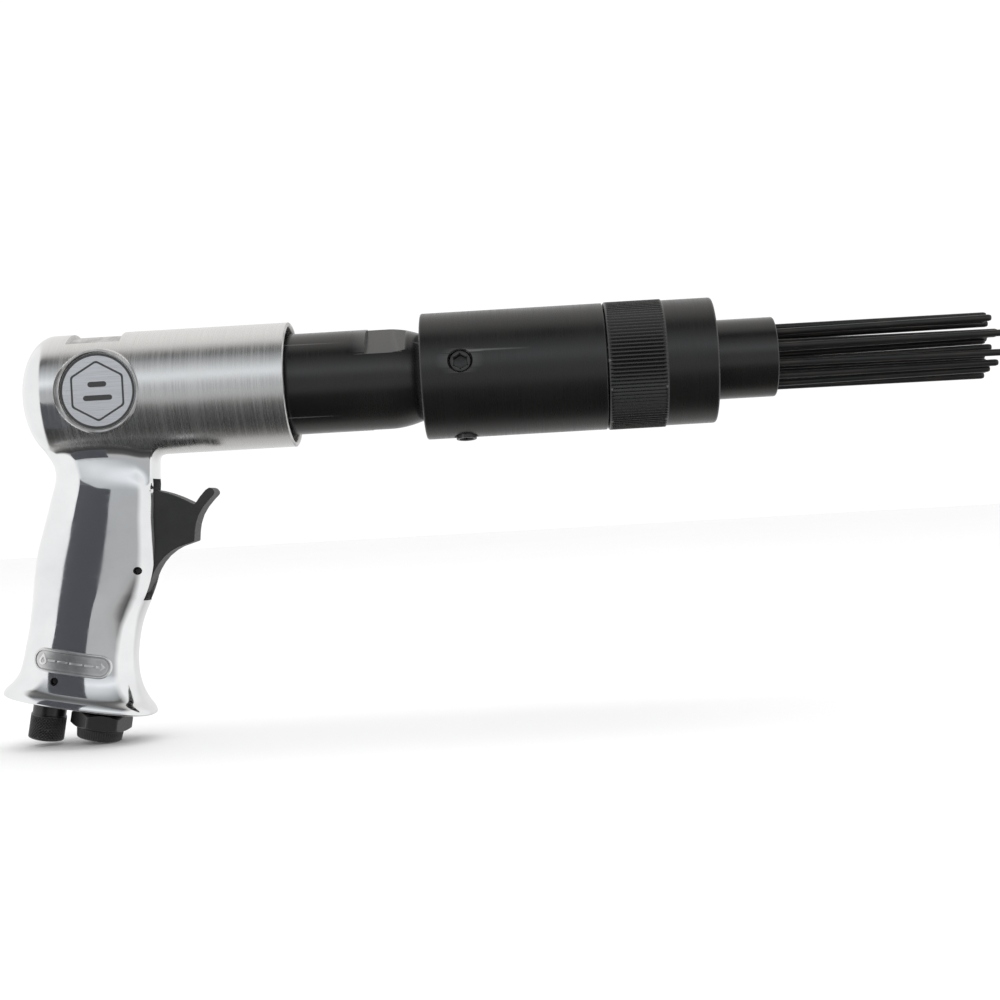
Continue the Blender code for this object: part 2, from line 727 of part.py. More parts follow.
def build_pins():
    cylinder(
        "trigger_pin",
        (TRIGGER_PIN_U, -TRIGGER_PIN_HALF, -TRIGGER_PIN_S),
        (TRIGGER_PIN_U, TRIGGER_PIN_HALF, -TRIGGER_PIN_S),
        PIN_RADIUS,
        GRIP,
        SMALL_STEPS,
        "blackened_steel",
    )
    cylinder(
        "regulator_pin",
        (REGULATOR_PIN_U, -0.0150, -REGULATOR_PIN_S),
        (REGULATOR_PIN_U, 0.0060, -REGULATOR_PIN_S),
        PIN_RADIUS,
        GRIP,
        SMALL_STEPS,
        "blackened_steel",
    )


def build_throttle():
    place = along_x(0.0, 0.0, -THROTTLE_S)
    bush = (
        (0.0175, 0.0021), (0.0175, THROTTLE_BUSH_RADIUS), (0.0245, THROTTLE_BUSH_RADIUS), (0.0245, 0.0021),
    )
    turned("throttle_bush", bush, GRIP, place, SMALL_STEPS, "brass")
    seal = ((0.0161, 0.0022), (0.0161, 0.0050), (0.0172, 0.0050), (0.0172, 0.0022))
    turned("throttle_seal", seal, GRIP, place, SMALL_STEPS, "black_rubber")
    seat = ((0.0075, 0.0029), (0.0075, 0.0044), (0.0095, 0.0044), (0.0095, 0.0029))
    turned("throttle_seat", seat, GRIP, place, SMALL_STEPS, "brass")
    stem = (
        (0.0042, 0.0), (0.0042, 0.0038), (0.0072, 0.0038), (0.0072, 0.0018), (0.0320, 0.0018),
        (0.0328, 0.0010), (0.0328, 0.0),
    )
    turned("throttle_stem", stem, GRIP, place, SMALL_STEPS, "bare_steel")
    start = THROTTLE_REAR + GAP
    length = 0.0042 - GAP - start
    coil("throttle_spring", 0.0032, 0.0004, length, 5, 8, GRIP, along_x(start, 0.0, -THROTTLE_S), "bare_steel")


# ---------------------------------------------------------------- regulator and inlet

def build_regulator():
    """Knob and stem in one turned piece, its heights counted down the handle."""
    place = Matrix.Translation((REGULATOR_U, 0.0, 0.0)) @ Matrix.Rotation(math.pi, 4, "X")
    top = FLANGE_S + GAP
    profile = (
        (0.1055, 0.0), (0.1055, 0.0015), (0.1150, 0.0054), (0.1215, 0.0054), (0.1215, 0.0042),
        (0.1242, 0.0042), (0.1242, 0.0054), (0.1277, 0.0054), (0.1277, 0.0034), (0.1317, 0.0034),
        (0.1317, 0.0054), (top, 0.0054), (top, 0.0070), (top + 0.0005, 0.0075), (0.1475, 0.0075),
        (0.1478, 0.0080), (0.1582, 0.0080), (0.1590, 0.0073), (0.1590, 0.0),
    )
    turned("regulator_knob", profile, GRIP, place, FITTING_STEPS, "blackened_steel")
    ring = ((0.1218, 0.0045), (0.1218, 0.00565), (0.1239, 0.00565), (0.1239, 0.0045))
    turned("regulator_o_ring", ring, GRIP, place, SMALL_STEPS, "black_rubber")


def build_inlet():
    """Inlet bushing with its hex, seal ring, strainer and the plug that keeps the dust out."""
    place = Matrix.Translation((INLET_U, 0.0, 0.0)) @ Matrix.Rotation(math.pi, 4, "X")
    hex_start = FLANGE_S + 0.0026
    hex_end = FLANGE_S + 0.0095
    bush = (
        (0.1265, 0.0062), (0.1265, 0.0082), (FLANGE_S + 0.0002, 0.0082), (hex_start, 0.0082),
        (hex_start, 0.0120), (hex_start + 0.0005, 0.0120), (hex_start + 0.0005, 0.0062),
    )
    bushing = turned("inlet_bushing", bush, GRIP, place, FITTING_STEPS, "blackened_steel")
    corner = HEX_ACROSS_FLATS / 2 / math.cos(math.pi / 6)
    hexagon = cylinder(
        "inlet_hex",
        (INLET_U, 0.0, -(hex_start + 0.0002)),
        (INLET_U, 0.0, -hex_end),
        corner,
        GRIP,
        6,
        turn=HEX_TURN,
    )
    join(bushing, hexagon)
    through = cylinder(
        "inlet_through",
        (INLET_U, 0.0, -0.1255),
        (INLET_U, 0.0, -(hex_end + 0.002)),
        0.0062,
        GRIP,
        FITTING_STEPS,
    )
    spot = cylinder(
        "inlet_spot_face",
        (INLET_U, 0.0, -(hex_end - 0.0006)),
        (INLET_U, 0.0, -(hex_end + 0.002)),
        0.0109,
        GRIP,
        FITTING_STEPS,
    )
    cut(bushing, through, spot)
    ring = (
        (FLANGE_S + GAP, 0.0085), (FLANGE_S + GAP, 0.0106), (hex_start - GAP, 0.0106), (hex_start - GAP, 0.0085),
    )
    turned("inlet_seal_ring", ring, GRIP, place, FITTING_STEPS, "black_rubber")
    strainer = (
        (0.1262, 0.0), (0.1262, 0.0050), (0.1330, 0.0055), (0.1330, 0.0049), (0.1268, 0.0044), (0.1268, 0.0),
    )
    turned("inlet_strainer", strainer, GRIP, place, SMALL_STEPS, "brass")
    head = hex_end + GAP
    plug = (
        (0.1410, 0.0), (0.1410, 0.0052), (0.1420, 0.0058), (head, 0.0058), (head, 0.0100),
        (head + 0.0005, 0.0105), (0.1545, 0.0105), (0.1552, 0.0098), (0.1552, 0.0),
    )
    turned("inlet_dust_plug", plug, GRIP, place, FITTING_STEPS, "black_plastic")


clear_scene()
PARTS = make_collection("needle_scaler")
CUTTERS = make_collection("cutters")
BARREL = make_frame("barrel_frame", (AXIS_START, 0.0, AXIS_HEIGHT), 0.0)
GRIP = make_frame("grip_frame", (AXIS_START + GRIP_AT, 0.0, AXIS_HEIGHT), GRIP_RAKE)
bpy.context.view_layer.update()

build_housing()
build_badges()
build_cylinder()
build_valve()
build_piston()
build_anvil()
build_sleeve()
build_set_screws()
build_front_cap()
build_nose_tube()
build_needle_holder()
build_needles()
build_return_spring()
build_trigger()
build_pins()
build_throttle()
build_regulator()
build_inlet()
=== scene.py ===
"""Looks of a pneumatic needle scaler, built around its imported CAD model.

Lengths are in metres. Two local frames carry the shapes: BARREL, with X forward along the
barrel axis from the housing's rear, and GRIP, whose -Z runs down the raked handle.
The camera looks along +Y at the tool's right side, which is its -Y side.
"""

import json
import math

import bpy
import numpy as np
from mathutils import Matrix, Vector


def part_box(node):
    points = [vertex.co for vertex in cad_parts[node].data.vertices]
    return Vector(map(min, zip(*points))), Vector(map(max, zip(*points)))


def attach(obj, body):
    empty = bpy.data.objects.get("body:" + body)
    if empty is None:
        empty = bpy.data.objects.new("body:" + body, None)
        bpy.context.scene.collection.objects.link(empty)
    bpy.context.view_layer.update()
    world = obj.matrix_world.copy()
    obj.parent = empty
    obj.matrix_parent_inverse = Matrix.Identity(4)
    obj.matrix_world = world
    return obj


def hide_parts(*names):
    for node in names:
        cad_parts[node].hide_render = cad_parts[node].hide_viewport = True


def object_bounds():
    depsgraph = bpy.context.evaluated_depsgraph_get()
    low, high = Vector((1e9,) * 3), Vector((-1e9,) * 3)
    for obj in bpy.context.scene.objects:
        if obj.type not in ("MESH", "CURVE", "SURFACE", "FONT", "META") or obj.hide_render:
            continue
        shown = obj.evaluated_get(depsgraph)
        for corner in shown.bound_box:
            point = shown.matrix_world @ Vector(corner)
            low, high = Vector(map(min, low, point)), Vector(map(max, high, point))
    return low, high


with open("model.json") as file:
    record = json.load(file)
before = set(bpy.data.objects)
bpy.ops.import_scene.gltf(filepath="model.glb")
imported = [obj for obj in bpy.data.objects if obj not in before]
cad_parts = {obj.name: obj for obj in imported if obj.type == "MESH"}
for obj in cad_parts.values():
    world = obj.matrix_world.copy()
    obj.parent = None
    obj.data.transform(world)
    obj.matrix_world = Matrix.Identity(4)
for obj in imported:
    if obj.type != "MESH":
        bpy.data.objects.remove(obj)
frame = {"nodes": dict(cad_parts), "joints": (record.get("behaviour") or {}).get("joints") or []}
CAD_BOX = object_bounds()

# ---------------------------------------------------------------- where things are

TUBE_REAR = 0.0303               # the cylinder's rear end in the barrel frame
GRIP_AT = 0.029                  # where the grip's axis meets the barrel axis
JOINTS = {joint["name"]: joint for joint in frame["joints"]}
AXIS_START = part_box("cylinder")[0].x - TUBE_REAR
AXIS_HEIGHT = JOINTS["front_cap_turn"]["pos_m"][2]
DOWN_GRIP = Vector(JOINTS["dust_plug_pull"]["axis"])
GRIP_RAKE = math.atan2(-DOWN_GRIP.x, -DOWN_GRIP.z)
BARREL = Matrix.Translation((AXIS_START, 0.0, AXIS_HEIGHT))
GRIP = BARREL @ Matrix.Translation((GRIP_AT, 0.0, 0.0)) @ Matrix.Rotation(GRIP_RAKE, 4, "Y")
ALONG_BARREL = BARREL @ Matrix.Rotation(math.pi / 2, 4, "Y")

BARREL_RADIUS = 0.0284
BARREL_FRONT = 0.121
DOME_START = 0.014
DOME_DEPTH = 0.0155
BADGE_X = 0.0380
BOSS_RADIUS = 0.0185
BOSS_FACE = 0.0266
BADGE_FLOOR = 0.0248
BADGE_RADIUS = 0.0169
BADGE_TOP = 0.0260
FLANGE_S = 0.1405
TRIGGER_PIN = (0.0341, 0.0756)   # forward and down in the grip frame
TRIGGER_WIDTH = 0.0126
REGULATOR_U = -0.0003
REGULATOR_PIN = (0.0051, 0.1297)
INLET_U = 0.0241
HEX_TURN = math.radians(-13)
TUBE_RADIUS = 0.023
FLAT_TURN = math.radians(30)     # how far the wrench flats lean from straight up
SLEEVE_RADIUS = 0.0287
SLEEVE_FRONT = 0.2635
SCREW_X = 0.199
SCREW_RADIUS = 0.0046
SCREW_ANGLES = (8, -82, 188)
SCREW_TOPS = (0.0272, 0.0300, 0.0272)
GAP = 0.0003


# ---------------------------------------------------------------- node materials

class Finish:
    """A procedural material: a Principled shader and the nodes that vary it."""

    def __init__(self, name, **sockets):
        self.material = bpy.data.materials.new(name)
        self.material.use_nodes = True
        self.tree = self.material.node_tree
        self.shader = self.tree.nodes["Principled BSDF"]
        for key, value in sockets.items():
            self.shader.inputs[key.replace("_", " ")].default_value = value
        self.place = self.tree.nodes.new("ShaderNodeTexCoord").outputs["Object"]

    def put(self, socket, value):
        if isinstance(value, bpy.types.NodeSocket):
            self.tree.links.new(value, socket)
        else:
            socket.default_value = value

    def node(self, kind, values=(), out=0, **settings):
        made = self.tree.nodes.new("ShaderNode" + kind)
        for key, value in settings.items():
            setattr(made, key, value)
        for key, value in dict(values).items():
            self.put(made.inputs[key], value)
        return made.outputs[out]

    def math(self, operation, a, b=0.0):
        return self.node("Math", {0: a, 1: b}, operation=operation)

    def noise(self, scale, stretch=(1.0, 1.0, 1.0), detail=3.0, roughness=0.55, at=None):
        place = self.node("VectorMath", {0: at or self.place, 1: stretch}, operation="MULTIPLY")
        return self.node("TexNoise", {"Vector": place, "Scale": scale, "Detail": detail, "Roughness": roughness})

    def between(self, value, low, high, out_low=0.0, out_high=1.0):
        return self.node("MapRange", {0: value, 1: low, 2: high, 3: out_low, 4: out_high}, clamp=True)

    def blend(self, share, a, b):
        return self.node("Mix", {0: share, 6: a, 7: b}, out=2, data_type="RGBA")

    def edges(self, low=0.52, high=0.60):
        """How strongly a place is a convex outer edge, where the materials paint a highlight."""
        return self.between(self.node("NewGeometry", out=7), low, high)

    def bump(self, height, depth, before=None):
        values = {"Height": height, "Distance": depth, "Strength": 1.0}
        if before is not None:
            values["Normal"] = before
        return self.node("Bump", values)

    def finish(self, **sockets):
        for key, value in sockets.items():
            self.put(self.shader.inputs[key.replace("_", " ")], value)
        return self.material


def grey(level, blue=0.0):
    return (level - blue, level, level + blue, 1.0)


def cast_metal():
    """Aluminium casting: a mirror-polished grip and a barrel brushed round its girth."""
    look = Finish("polished_cast_aluminium", Metallic=1.0)
    brushed = look.node("Attribute", out=2, attribute_name="brushed")
    lines = look.noise(1.0, (4200.0, 14.0, 14.0), 4.0, 0.7)
    coarse = look.noise(1.0, (900.0, 10.0, 10.0), 3.0)
    lines = look.math("ADD", look.math("MULTIPLY", lines, 0.6), look.math("MULTIPLY", coarse, 0.4))
    patches = look.noise(45.0, detail=5.0)
    scuffs = look.noise(1.0, (160.0, 160.0, 900.0), 4.0, 0.7)
    satin = look.between(lines, 0.35, 0.65, 0.17, 0.34)
    mirror = look.math(
        "ADD", look.between(patches, 0.35, 0.7, 0.045, 0.12), look.between(scuffs, 0.55, 0.8, 0.0, 0.12)
    )
    rough = look.math(
        "ADD",
        look.math("MULTIPLY", satin, brushed),
        look.math("MULTIPLY", mirror, look.math("SUBTRACT", 1.0, brushed)),
    )
    dull = look.blend(look.between(patches, 0.3, 0.75), (0.86, 0.865, 0.87, 1), (0.76, 0.765, 0.775, 1))
    lined = look.blend(look.between(lines, 0.3, 0.7), (0.70, 0.70, 0.70, 1), (0.86, 0.86, 0.85, 1))
    colour = look.blend(brushed, dull, lined)
    waves = look.bump(look.noise(70.0, detail=1.0), 0.00012)
    groove = look.bump(look.math("MULTIPLY", lines, brushed), 0.000012, waves)
    return look.finish(Base_Color=colour, Roughness=rough, Normal=groove)


def machined_cast():
    """Where the casting was cut: duller, with tool marks and dirt."""
    look = Finish("machined_cast_aluminium", Metallic=1.0)
    marks = look.noise(1.0, (1500.0, 60.0, 60.0), 4.0)
    dirt = look.noise(140.0, detail=6.0)
    colour = look.blend(look.between(dirt, 0.35, 0.65), (0.46, 0.45, 0.44, 1), (0.70, 0.70, 0.70, 1))
    return look.finish(
        Base_Color=colour,
        Roughness=look.between(marks, 0.3, 0.7, 0.28, 0.45),
        Normal=look.bump(marks, 0.00003),
    )


def black_oxide(name, level=0.004, shine=0.27, turned_lines=True):
    """Blackened steel with an oily satin surface, faint turning lines and a painted highlight along its edges."""
    look = Finish(name, Metallic=0.0, IOR=1.6)
    stretch = (2200.0, 20.0, 20.0) if turned_lines else (500.0, 500.0, 500.0)
    lines = look.noise(1.0, stretch, 4.0, 0.65)
    cloud = look.noise(38.0, detail=5.0)
    base = look.blend(
        look.between(cloud, 0.3, 0.7), grey(level), (level * 1.9, level * 1.7, level * 1.6, 1.0)
    )
    # Paler towards grey at convex edges: a painted highlight along the edges.
    colour = look.blend(look.math("MULTIPLY", look.edges(), 0.5), base, grey(0.16))
    rough = look.math(
        "ADD",
        look.between(lines, 0.3, 0.7, shine - 0.05, shine + 0.06),
        look.between(cloud, 0.3, 0.7, -0.02, 0.05),
    )
    return look.finish(Base_Color=colour, Roughness=rough, Normal=look.bump(lines, 0.000002))


def drawn_wire():
    """Needle steel: dark, oiled, drawn along its length."""
    look = Finish("drawn_needle_steel", Metallic=0.75)
    lines = look.noise(1.0, (60.0, 2600.0, 2600.0), 3.0)
    rust = look.noise(1.0, (70.0, 500.0, 500.0), 5.0)
    base = look.blend(look.between(rust, 0.45, 0.8), grey(0.035, 0.001), (0.060, 0.052, 0.045, 1))
    # Paler towards grey at convex edges: a painted highlight along the edges.
    colour = look.blend(look.math("MULTIPLY", look.edges(), 0.4), base, grey(0.2))
    return look.finish(
        Base_Color=colour,
        Roughness=look.between(lines, 0.3, 0.7, 0.26, 0.40),
        Normal=look.bump(lines, 0.000008),
    )


def bare_metal(name, tint, low=0.22, high=0.4, stretch=(1200.0, 40.0, 40.0)):
    look = Finish(name, Metallic=1.0)
    lines = look.noise(1.0, stretch, 4.0)
    stain = look.noise(110.0, detail=5.0)
    dark = tuple(0.7 * part for part in tint) + (1.0,)
    colour = look.blend(look.between(stain, 0.4, 0.75), tint + (1.0,), dark)
    return look.finish(
        Base_Color=colour,
        Roughness=look.between(lines, 0.3, 0.7, low, high),
        Normal=look.bump(lines, 0.00001),
    )


def moulded(name, level, low, high, grain, depth):
    """Black plastic or rubber with a fine moulded grain, and a painted highlight along its edges."""
    look = Finish(name, Metallic=0.0)
    fine = look.noise(grain, detail=3.0, roughness=0.7)
    cloud = look.noise(90.0, detail=4.0)
    colour = look.blend(look.between(cloud, 0.3, 0.75), grey(level), grey(level * 1.8))
    # Paler towards grey at convex edges: a painted highlight along the edges.
    colour = look.blend(look.math("MULTIPLY", look.edges(), 0.35), colour, grey(0.09))
    return look.finish(
        Base_Color=colour,
        Roughness=look.between(fine, 0.3, 0.7, low, high),
        Normal=look.bump(fine, depth),
    )


def brushed_plate():
    """The badge's face: silver, brushed straight across."""
    look = Finish("brushed_badge_plate", Metallic=1.0)
    lines = look.noise(1.0, (45.0, 45.0, 3800.0), 4.0, 0.7)
    fleck = look.noise(500.0, detail=2.0)
    colour = look.blend(look.between(lines, 0.3, 0.7), (0.62, 0.63, 0.66, 1), (0.84, 0.85, 0.87, 1))
    rough = look.math("ADD", look.between(lines, 0.3, 0.7, 0.26, 0.38), look.between(fleck, 0.5, 0.8, 0.0, 0.1))
    return look.finish(Base_Color=colour, Roughness=rough, Normal=look.bump(lines, 0.00002))


def satin_plaque():
    """The oval on the grip: finely blasted, so it stays matt beside the polish."""
    look = Finish("satin_oval_plaque", Metallic=1.0)
    fine = look.noise(2600.0, detail=3.0, roughness=0.7)
    cloud = look.noise(220.0, detail=4.0)
    colour = look.blend(look.between(cloud, 0.3, 0.7), (0.50, 0.50, 0.50, 1), (0.66, 0.66, 0.66, 1))
    # Bright grey at convex edges: a painted highlight along the raised edges.
    colour = look.blend(look.edges(0.51, 0.56), colour, grey(0.86))
    return look.finish(
        Base_Color=colour,
        Roughness=look.between(fine, 0.3, 0.7, 0.28, 0.42),
        Normal=look.bump(fine, 0.00001),
    )


LOOKS = {
    "cast": cast_metal(),
    "cut": machined_cast(),
    "tube": black_oxide("black_oxide_tube", 0.0040, 0.20),
    "sleeve": black_oxide("black_oxide_collar", 0.0035, 0.27),
    "fitting": black_oxide("black_oxide_fitting", 0.004, 0.30, turned_lines=False),
    "needle": drawn_wire(),
    "steel": bare_metal("turned_bare_steel", (0.56, 0.56, 0.57)),
    "brass": bare_metal("machined_brass", (0.74, 0.55, 0.24)),
    "plastic": moulded("moulded_black_plastic", 0.012, 0.40, 0.58, 1500.0, 0.00002),
    "rubber": moulded("black_rubber_seal", 0.010, 0.60, 0.80, 900.0, 0.00002),
    "plate": brushed_plate(),
    "print": moulded("black_badge_paint", 0.006, 0.30, 0.42, 2500.0, 0.000006),
    "plaque": satin_plaque(),
}


# ---------------------------------------------------------------- making pieces

def add_mesh(name, points, faces, looks, slots=None):
    mesh = bpy.data.meshes.new(name)
    mesh.from_pydata([tuple(p) for p in points], [], faces)
    piece = bpy.data.objects.new(name, mesh)
    bpy.context.scene.collection.objects.link(piece)
    for look in looks:
        mesh.materials.append(LOOKS[look])
    return piece


def own(piece, body, slot, *nodes):
    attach(piece, body)
    if nodes:
        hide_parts(*nodes)
    return piece


def shade(piece, angle=38.0, weighted=True):
    mesh = piece.data
    mesh.shade_smooth()
    mesh.set_sharp_from_angle(angle=math.radians(angle))
    if weighted:
        even = piece.modifiers.new("even_normals", "WEIGHTED_NORMAL")
        even.keep_sharp = True
    return piece


def softened(profile, loop, size=0.00025, count=3):
    """The profile with each corner rounded; a third value gives a corner its own radius."""
    out = []
    last = len(profile) - 1
    for i, point in enumerate(profile):
        here = np.array(point[:2])
        radius = point[2] if len(point) > 2 else size
        if radius == 0 or (not loop and i in (0, last)):
            out.append(tuple(here))
            continue
        before = np.array(profile[i - 1][:2]) - here
        after = np.array(profile[(i + 1) % (last + 1)][:2]) - here
        reach = min(radius, 0.45 * np.linalg.norm(before), 0.45 * np.linalg.norm(after))
        start = here + before / np.linalg.norm(before) * reach
        end = here + after / np.linalg.norm(after) * reach
        for k in range(count + 1):
            t = k / count
            out.append(tuple((1 - t) ** 2 * start + 2 * t * (1 - t) * here + t * t * end))
    return out


def turned(name, profile, place, look, steps=144, loop=False, shape=None, soft=0.00025):
    """A solid of revolution about place's Z: (height, radius) points, corners softened.
    shape(height, radius, angle) may press flats, ridges or teeth into it."""
    rows = softened(profile, loop, soft)
    points, rings, faces = [], [], []
    angles = np.arange(steps) * 2 * math.pi / steps
    for height, radius in rows:
        first = len(points)
        if radius < 1e-7:
            points.append((0.0, 0.0, height))
            rings.append([first])
            continue
        size = np.full(steps, radius)
        if shape is not None:
            size = shape(height, radius, angles)
        points += list(zip(size * np.cos(angles), size * np.sin(angles), np.full(steps, height)))
        rings.append(list(range(first, first + steps)))
    pairs = list(zip(rings, rings[1:])) + ([(rings[-1], rings[0])] if loop else [])
    for low, high in pairs:
        for j in range(steps):
            k = (j + 1) % steps
            face = [low[j % len(low)], low[k % len(low)], high[k % len(high)], high[j % len(high)]]
            faces.append(list(dict.fromkeys(face)))
    place = np.array(place)
    points = np.array(points) @ place[:3, :3].T + place[:3, 3]
    return add_mesh(name, points, faces, [look])


def cut(piece, *cutters, solver="EXACT"):
    """Takes the cutters out of a piece for good."""
    for cutter in cutters:
        change = piece.modifiers.new("cut", "BOOLEAN")
        change.operation = "DIFFERENCE"
        change.solver = solver
        change.object = cutter
    bake(piece)
    for cutter in cutters:
        bpy.data.objects.remove(cutter)
    return piece


def bake(piece):
    """Makes a piece's modifiers part of its mesh."""
    graph = bpy.context.evaluated_depsgraph_get()
    solid = bpy.data.meshes.new_from_object(piece.evaluated_get(graph))
    piece.modifiers.clear()
    piece.data = solid


def on_grip(u, s):
    """A place whose Z runs down the handle, at a point of the grip's axis plane."""
    return GRIP @ Matrix.Translation((u, 0.0, -s)) @ Matrix.Rotation(math.pi, 4, "X")


def rod(name, start, end, radius, place, look="cut", steps=32):
    """A plain pin or drill between two points of a frame."""
    start, end = Vector(start), Vector(end)
    way = end - start
    matrix = place @ Matrix.Translation(start) @ way.to_track_quat("Z", "Y").to_matrix().to_4x4()
    profile = ((0.0, 0.0), (0.0, radius), (way.length, radius), (way.length, 0.0))
    return turned(name, profile, matrix, look, steps, soft=0.0)


# ---------------------------------------------------------------- the cast housing

MM = 1000.0
SECTIONS = np.array((            # down the grip: place, rear edge, front edge, half width
    (0.0160, -0.0150, 0.0320, 0.0130), (0.0300, -0.0150, 0.0330, 0.0140),
    (0.0375, -0.0118, 0.0357, 0.0150), (0.0510, -0.0123, 0.0378, 0.0158),
    (0.0630, -0.0136, 0.0400, 0.0162), (0.0760, -0.0149, 0.0408, 0.0163),
    (0.0860, -0.0147, 0.0394, 0.0162), (0.0900, -0.0145, 0.0383, 0.0162),
    (0.1000, -0.0140, 0.0362, 0.0159), (0.1090, -0.0139, 0.0359, 0.0157),
    (0.1170, -0.0143, 0.0366, 0.0158), (0.1250, -0.0147, 0.0386, 0.0165),
    (0.1300, -0.0155, 0.0410, 0.0177), (0.1345, -0.0178, 0.0443, 0.0196),
    (0.1382, -0.0206, 0.0477, 0.0220), (0.1450, -0.0209, 0.0481, 0.0223),
)) * MM
SQUARENESS = 2.5
FILLET = 4.5                     # all of this block works in millimetres
PITCH = 0.78


def eased(column):
    """A smooth curve through one column of SECTIONS, as a dense table."""
    s, v = SECTIONS[:, 0], SECTIONS[:, column]
    slope = np.gradient(v, s)
    dense = np.linspace(s[0], s[-1], 1200)
    i = np.clip(np.searchsorted(s, dense) - 1, 0, len(s) - 2)
    h = s[i + 1] - s[i]
    t = (dense - s[i]) / h
    return dense, (
        (2 * t**3 - 3 * t**2 + 1) * v[i] + (t**3 - 2 * t**2 + t) * h * slope[i]
        + (3 * t**2 - 2 * t**3) * v[i + 1] + (t**3 - t**2) * h * slope[i + 1]
    )


REAR_EDGE, FRONT_EDGE, HALF_WIDTH = eased(1), eased(2), eased(3)


def either(a, b, k):
    """Union of two distances with a fillet of about k."""
    h = np.clip(0.5 + 0.5 * (b - a) / k, 0, 1)
    return b * (1 - h) + a * h - k * h * (1 - h)


def both(a, b, k):
    return -either(-a, -b, k)


def grip_level(u, y, s):
    rear, front = np.interp(s, *REAR_EDGE), np.interp(s, *FRONT_EDGE)
    half = np.interp(s, *HALF_WIDTH)
    across_ = np.abs((u - (rear + front) / 2) / ((front - rear) / 2))
    return (across_**SQUARENESS + np.abs(y / half) ** SQUARENESS) ** (1 / SQUARENESS)


def grip_distance(u, y, s):
    step = 0.05
    here = grip_level(u, y, s)
    du = (grip_level(u + step, y, s) - grip_level(u - step, y, s)) / (2 * step)
    dy = (grip_level(u, y + step, s) - grip_level(u, y - step, s)) / (2 * step)
    ds = (grip_level(u, y, s + step) - grip_level(u, y, s - step)) / (2 * step)
    side = (here - 1) / np.sqrt(du**2 + dy**2 + ds**2 + 1e-9)
    return both(both(side, s - FLANGE_S * MM, 0.9), 10.0 - s, 0.5)


def barrel_distance(x, y, z):
    radius, start, depth = BARREL_RADIUS * MM, DOME_START * MM, DOME_DEPTH * MM
    out = np.hypot(y, z)
    back = np.minimum(x - start, 0)
    near = np.sqrt((back / depth) ** 2 + (out / radius) ** 2)
    steep = np.sqrt((back / depth**2) ** 2 + (out / radius**2) ** 2) + 1e-9
    dome = near * (near - 1) / steep
    return np.maximum(np.where(x < start, dome, out - radius), x - (BARREL_FRONT * MM + 2))


def boss_distance(x, y, z):
    out = np.hypot(x - BADGE_X * MM, z) - BOSS_RADIUS * MM
    return np.maximum(out, np.abs(y) - (BOSS_FACE * MM + 1))


def lug_distance(x, y, z):
    front = x - 55.8 - (z + 30) * 0.06
    lug = both(both(front, -42.4 - z, 1.6), both(np.abs(y) - 9.0, 45 - x, 0.5), 1.4)
    return np.maximum(lug, z + 20)


def split(p):
    """Grip-frame points (u, y, s) in the barrel frame."""
    turn, lean = math.cos(GRIP_RAKE), math.sin(GRIP_RAKE)
    u, y, s = p
    return GRIP_AT * MM + u * turn - s * lean, y, -u * lean - s * turn


def housing_distance(p):
    x, y, z = split(p)
    barrel = either(barrel_distance(x, y, z), boss_distance(x, y, z), 0.7)
    grip = either(grip_distance(*p), lug_distance(x, y, z), 2.2)
    return either(barrel, grip, FILLET)


def slope_of(distance, p):
    step = 0.03
    out = []
    for axis in range(3):
        offset = np.zeros((3, 1))
        offset[axis] = step
        out.append((distance(p + offset) - distance(p - offset)) / (2 * step))
    return np.array(out)


def surface_net(distance, axes):
    """A quad skin on the zero level of a distance over a grid, then pulled onto it."""
    grid = np.meshgrid(*axes, indexing="ij")
    level = distance(np.array([g.ravel() for g in grid])).reshape(grid[0].shape)
    inside = level < 0
    shape = tuple(n - 1 for n in level.shape)
    total, count = np.zeros(shape + (3,)), np.zeros(shape)
    corners = [(i, j, k) for i in (0, 1) for j in (0, 1) for k in (0, 1)]
    block = lambda a, c: a[tuple(slice(o, o + n) for o, n in zip(c, shape))]
    for a in corners:
        for b in corners:
            if sum(b) - sum(a) != 1 or any(q < p for p, q in zip(a, b)):
                continue
            va, vb = block(level, a), block(level, b)
            crosses = (va < 0) != (vb < 0)
            t = np.where(crosses, va / np.where(crosses, va - vb, 1), 0)
            for axis in range(3):
                ga, gb = block(grid[axis], a), block(grid[axis], b)
                total[..., axis] += np.where(crosses, ga + t * (gb - ga), 0)
            count += crosses
    used = count > 0
    number = np.full(shape, -1)
    number[used] = np.arange(used.sum())
    points = (total[used] / count[used][:, None]).T
    faces = []
    for axis in range(3):
        b, c = (axis + 1) % 3, (axis + 2) % 3
        near = [slice(None)] * 3
        far = [slice(None)] * 3
        near[axis], far[axis] = slice(0, -1), slice(1, None)
        first, second = inside[tuple(near)], inside[tuple(far)]
        for leaving in (True, False):
            hit = np.argwhere(first & ~second if leaving else ~first & second)
            ring = []
            for db, dc in ((1, 1), (0, 1), (0, 0), (1, 0)):
                at = hit.copy()
                at[:, b] -= db
                at[:, c] -= dc
                ring.append(number[tuple(at.T)])
            ring = np.array(ring).T
            ring = ring[(ring >= 0).all(1)]
            faces.append(ring[:, ::-1] if leaving is False else ring)
    for _ in range(5):
        slope = slope_of(distance, points)
        points = points - distance(points) * slope / (np.sum(slope**2, 0) + 1e-9)
    return points, np.concatenate(faces)


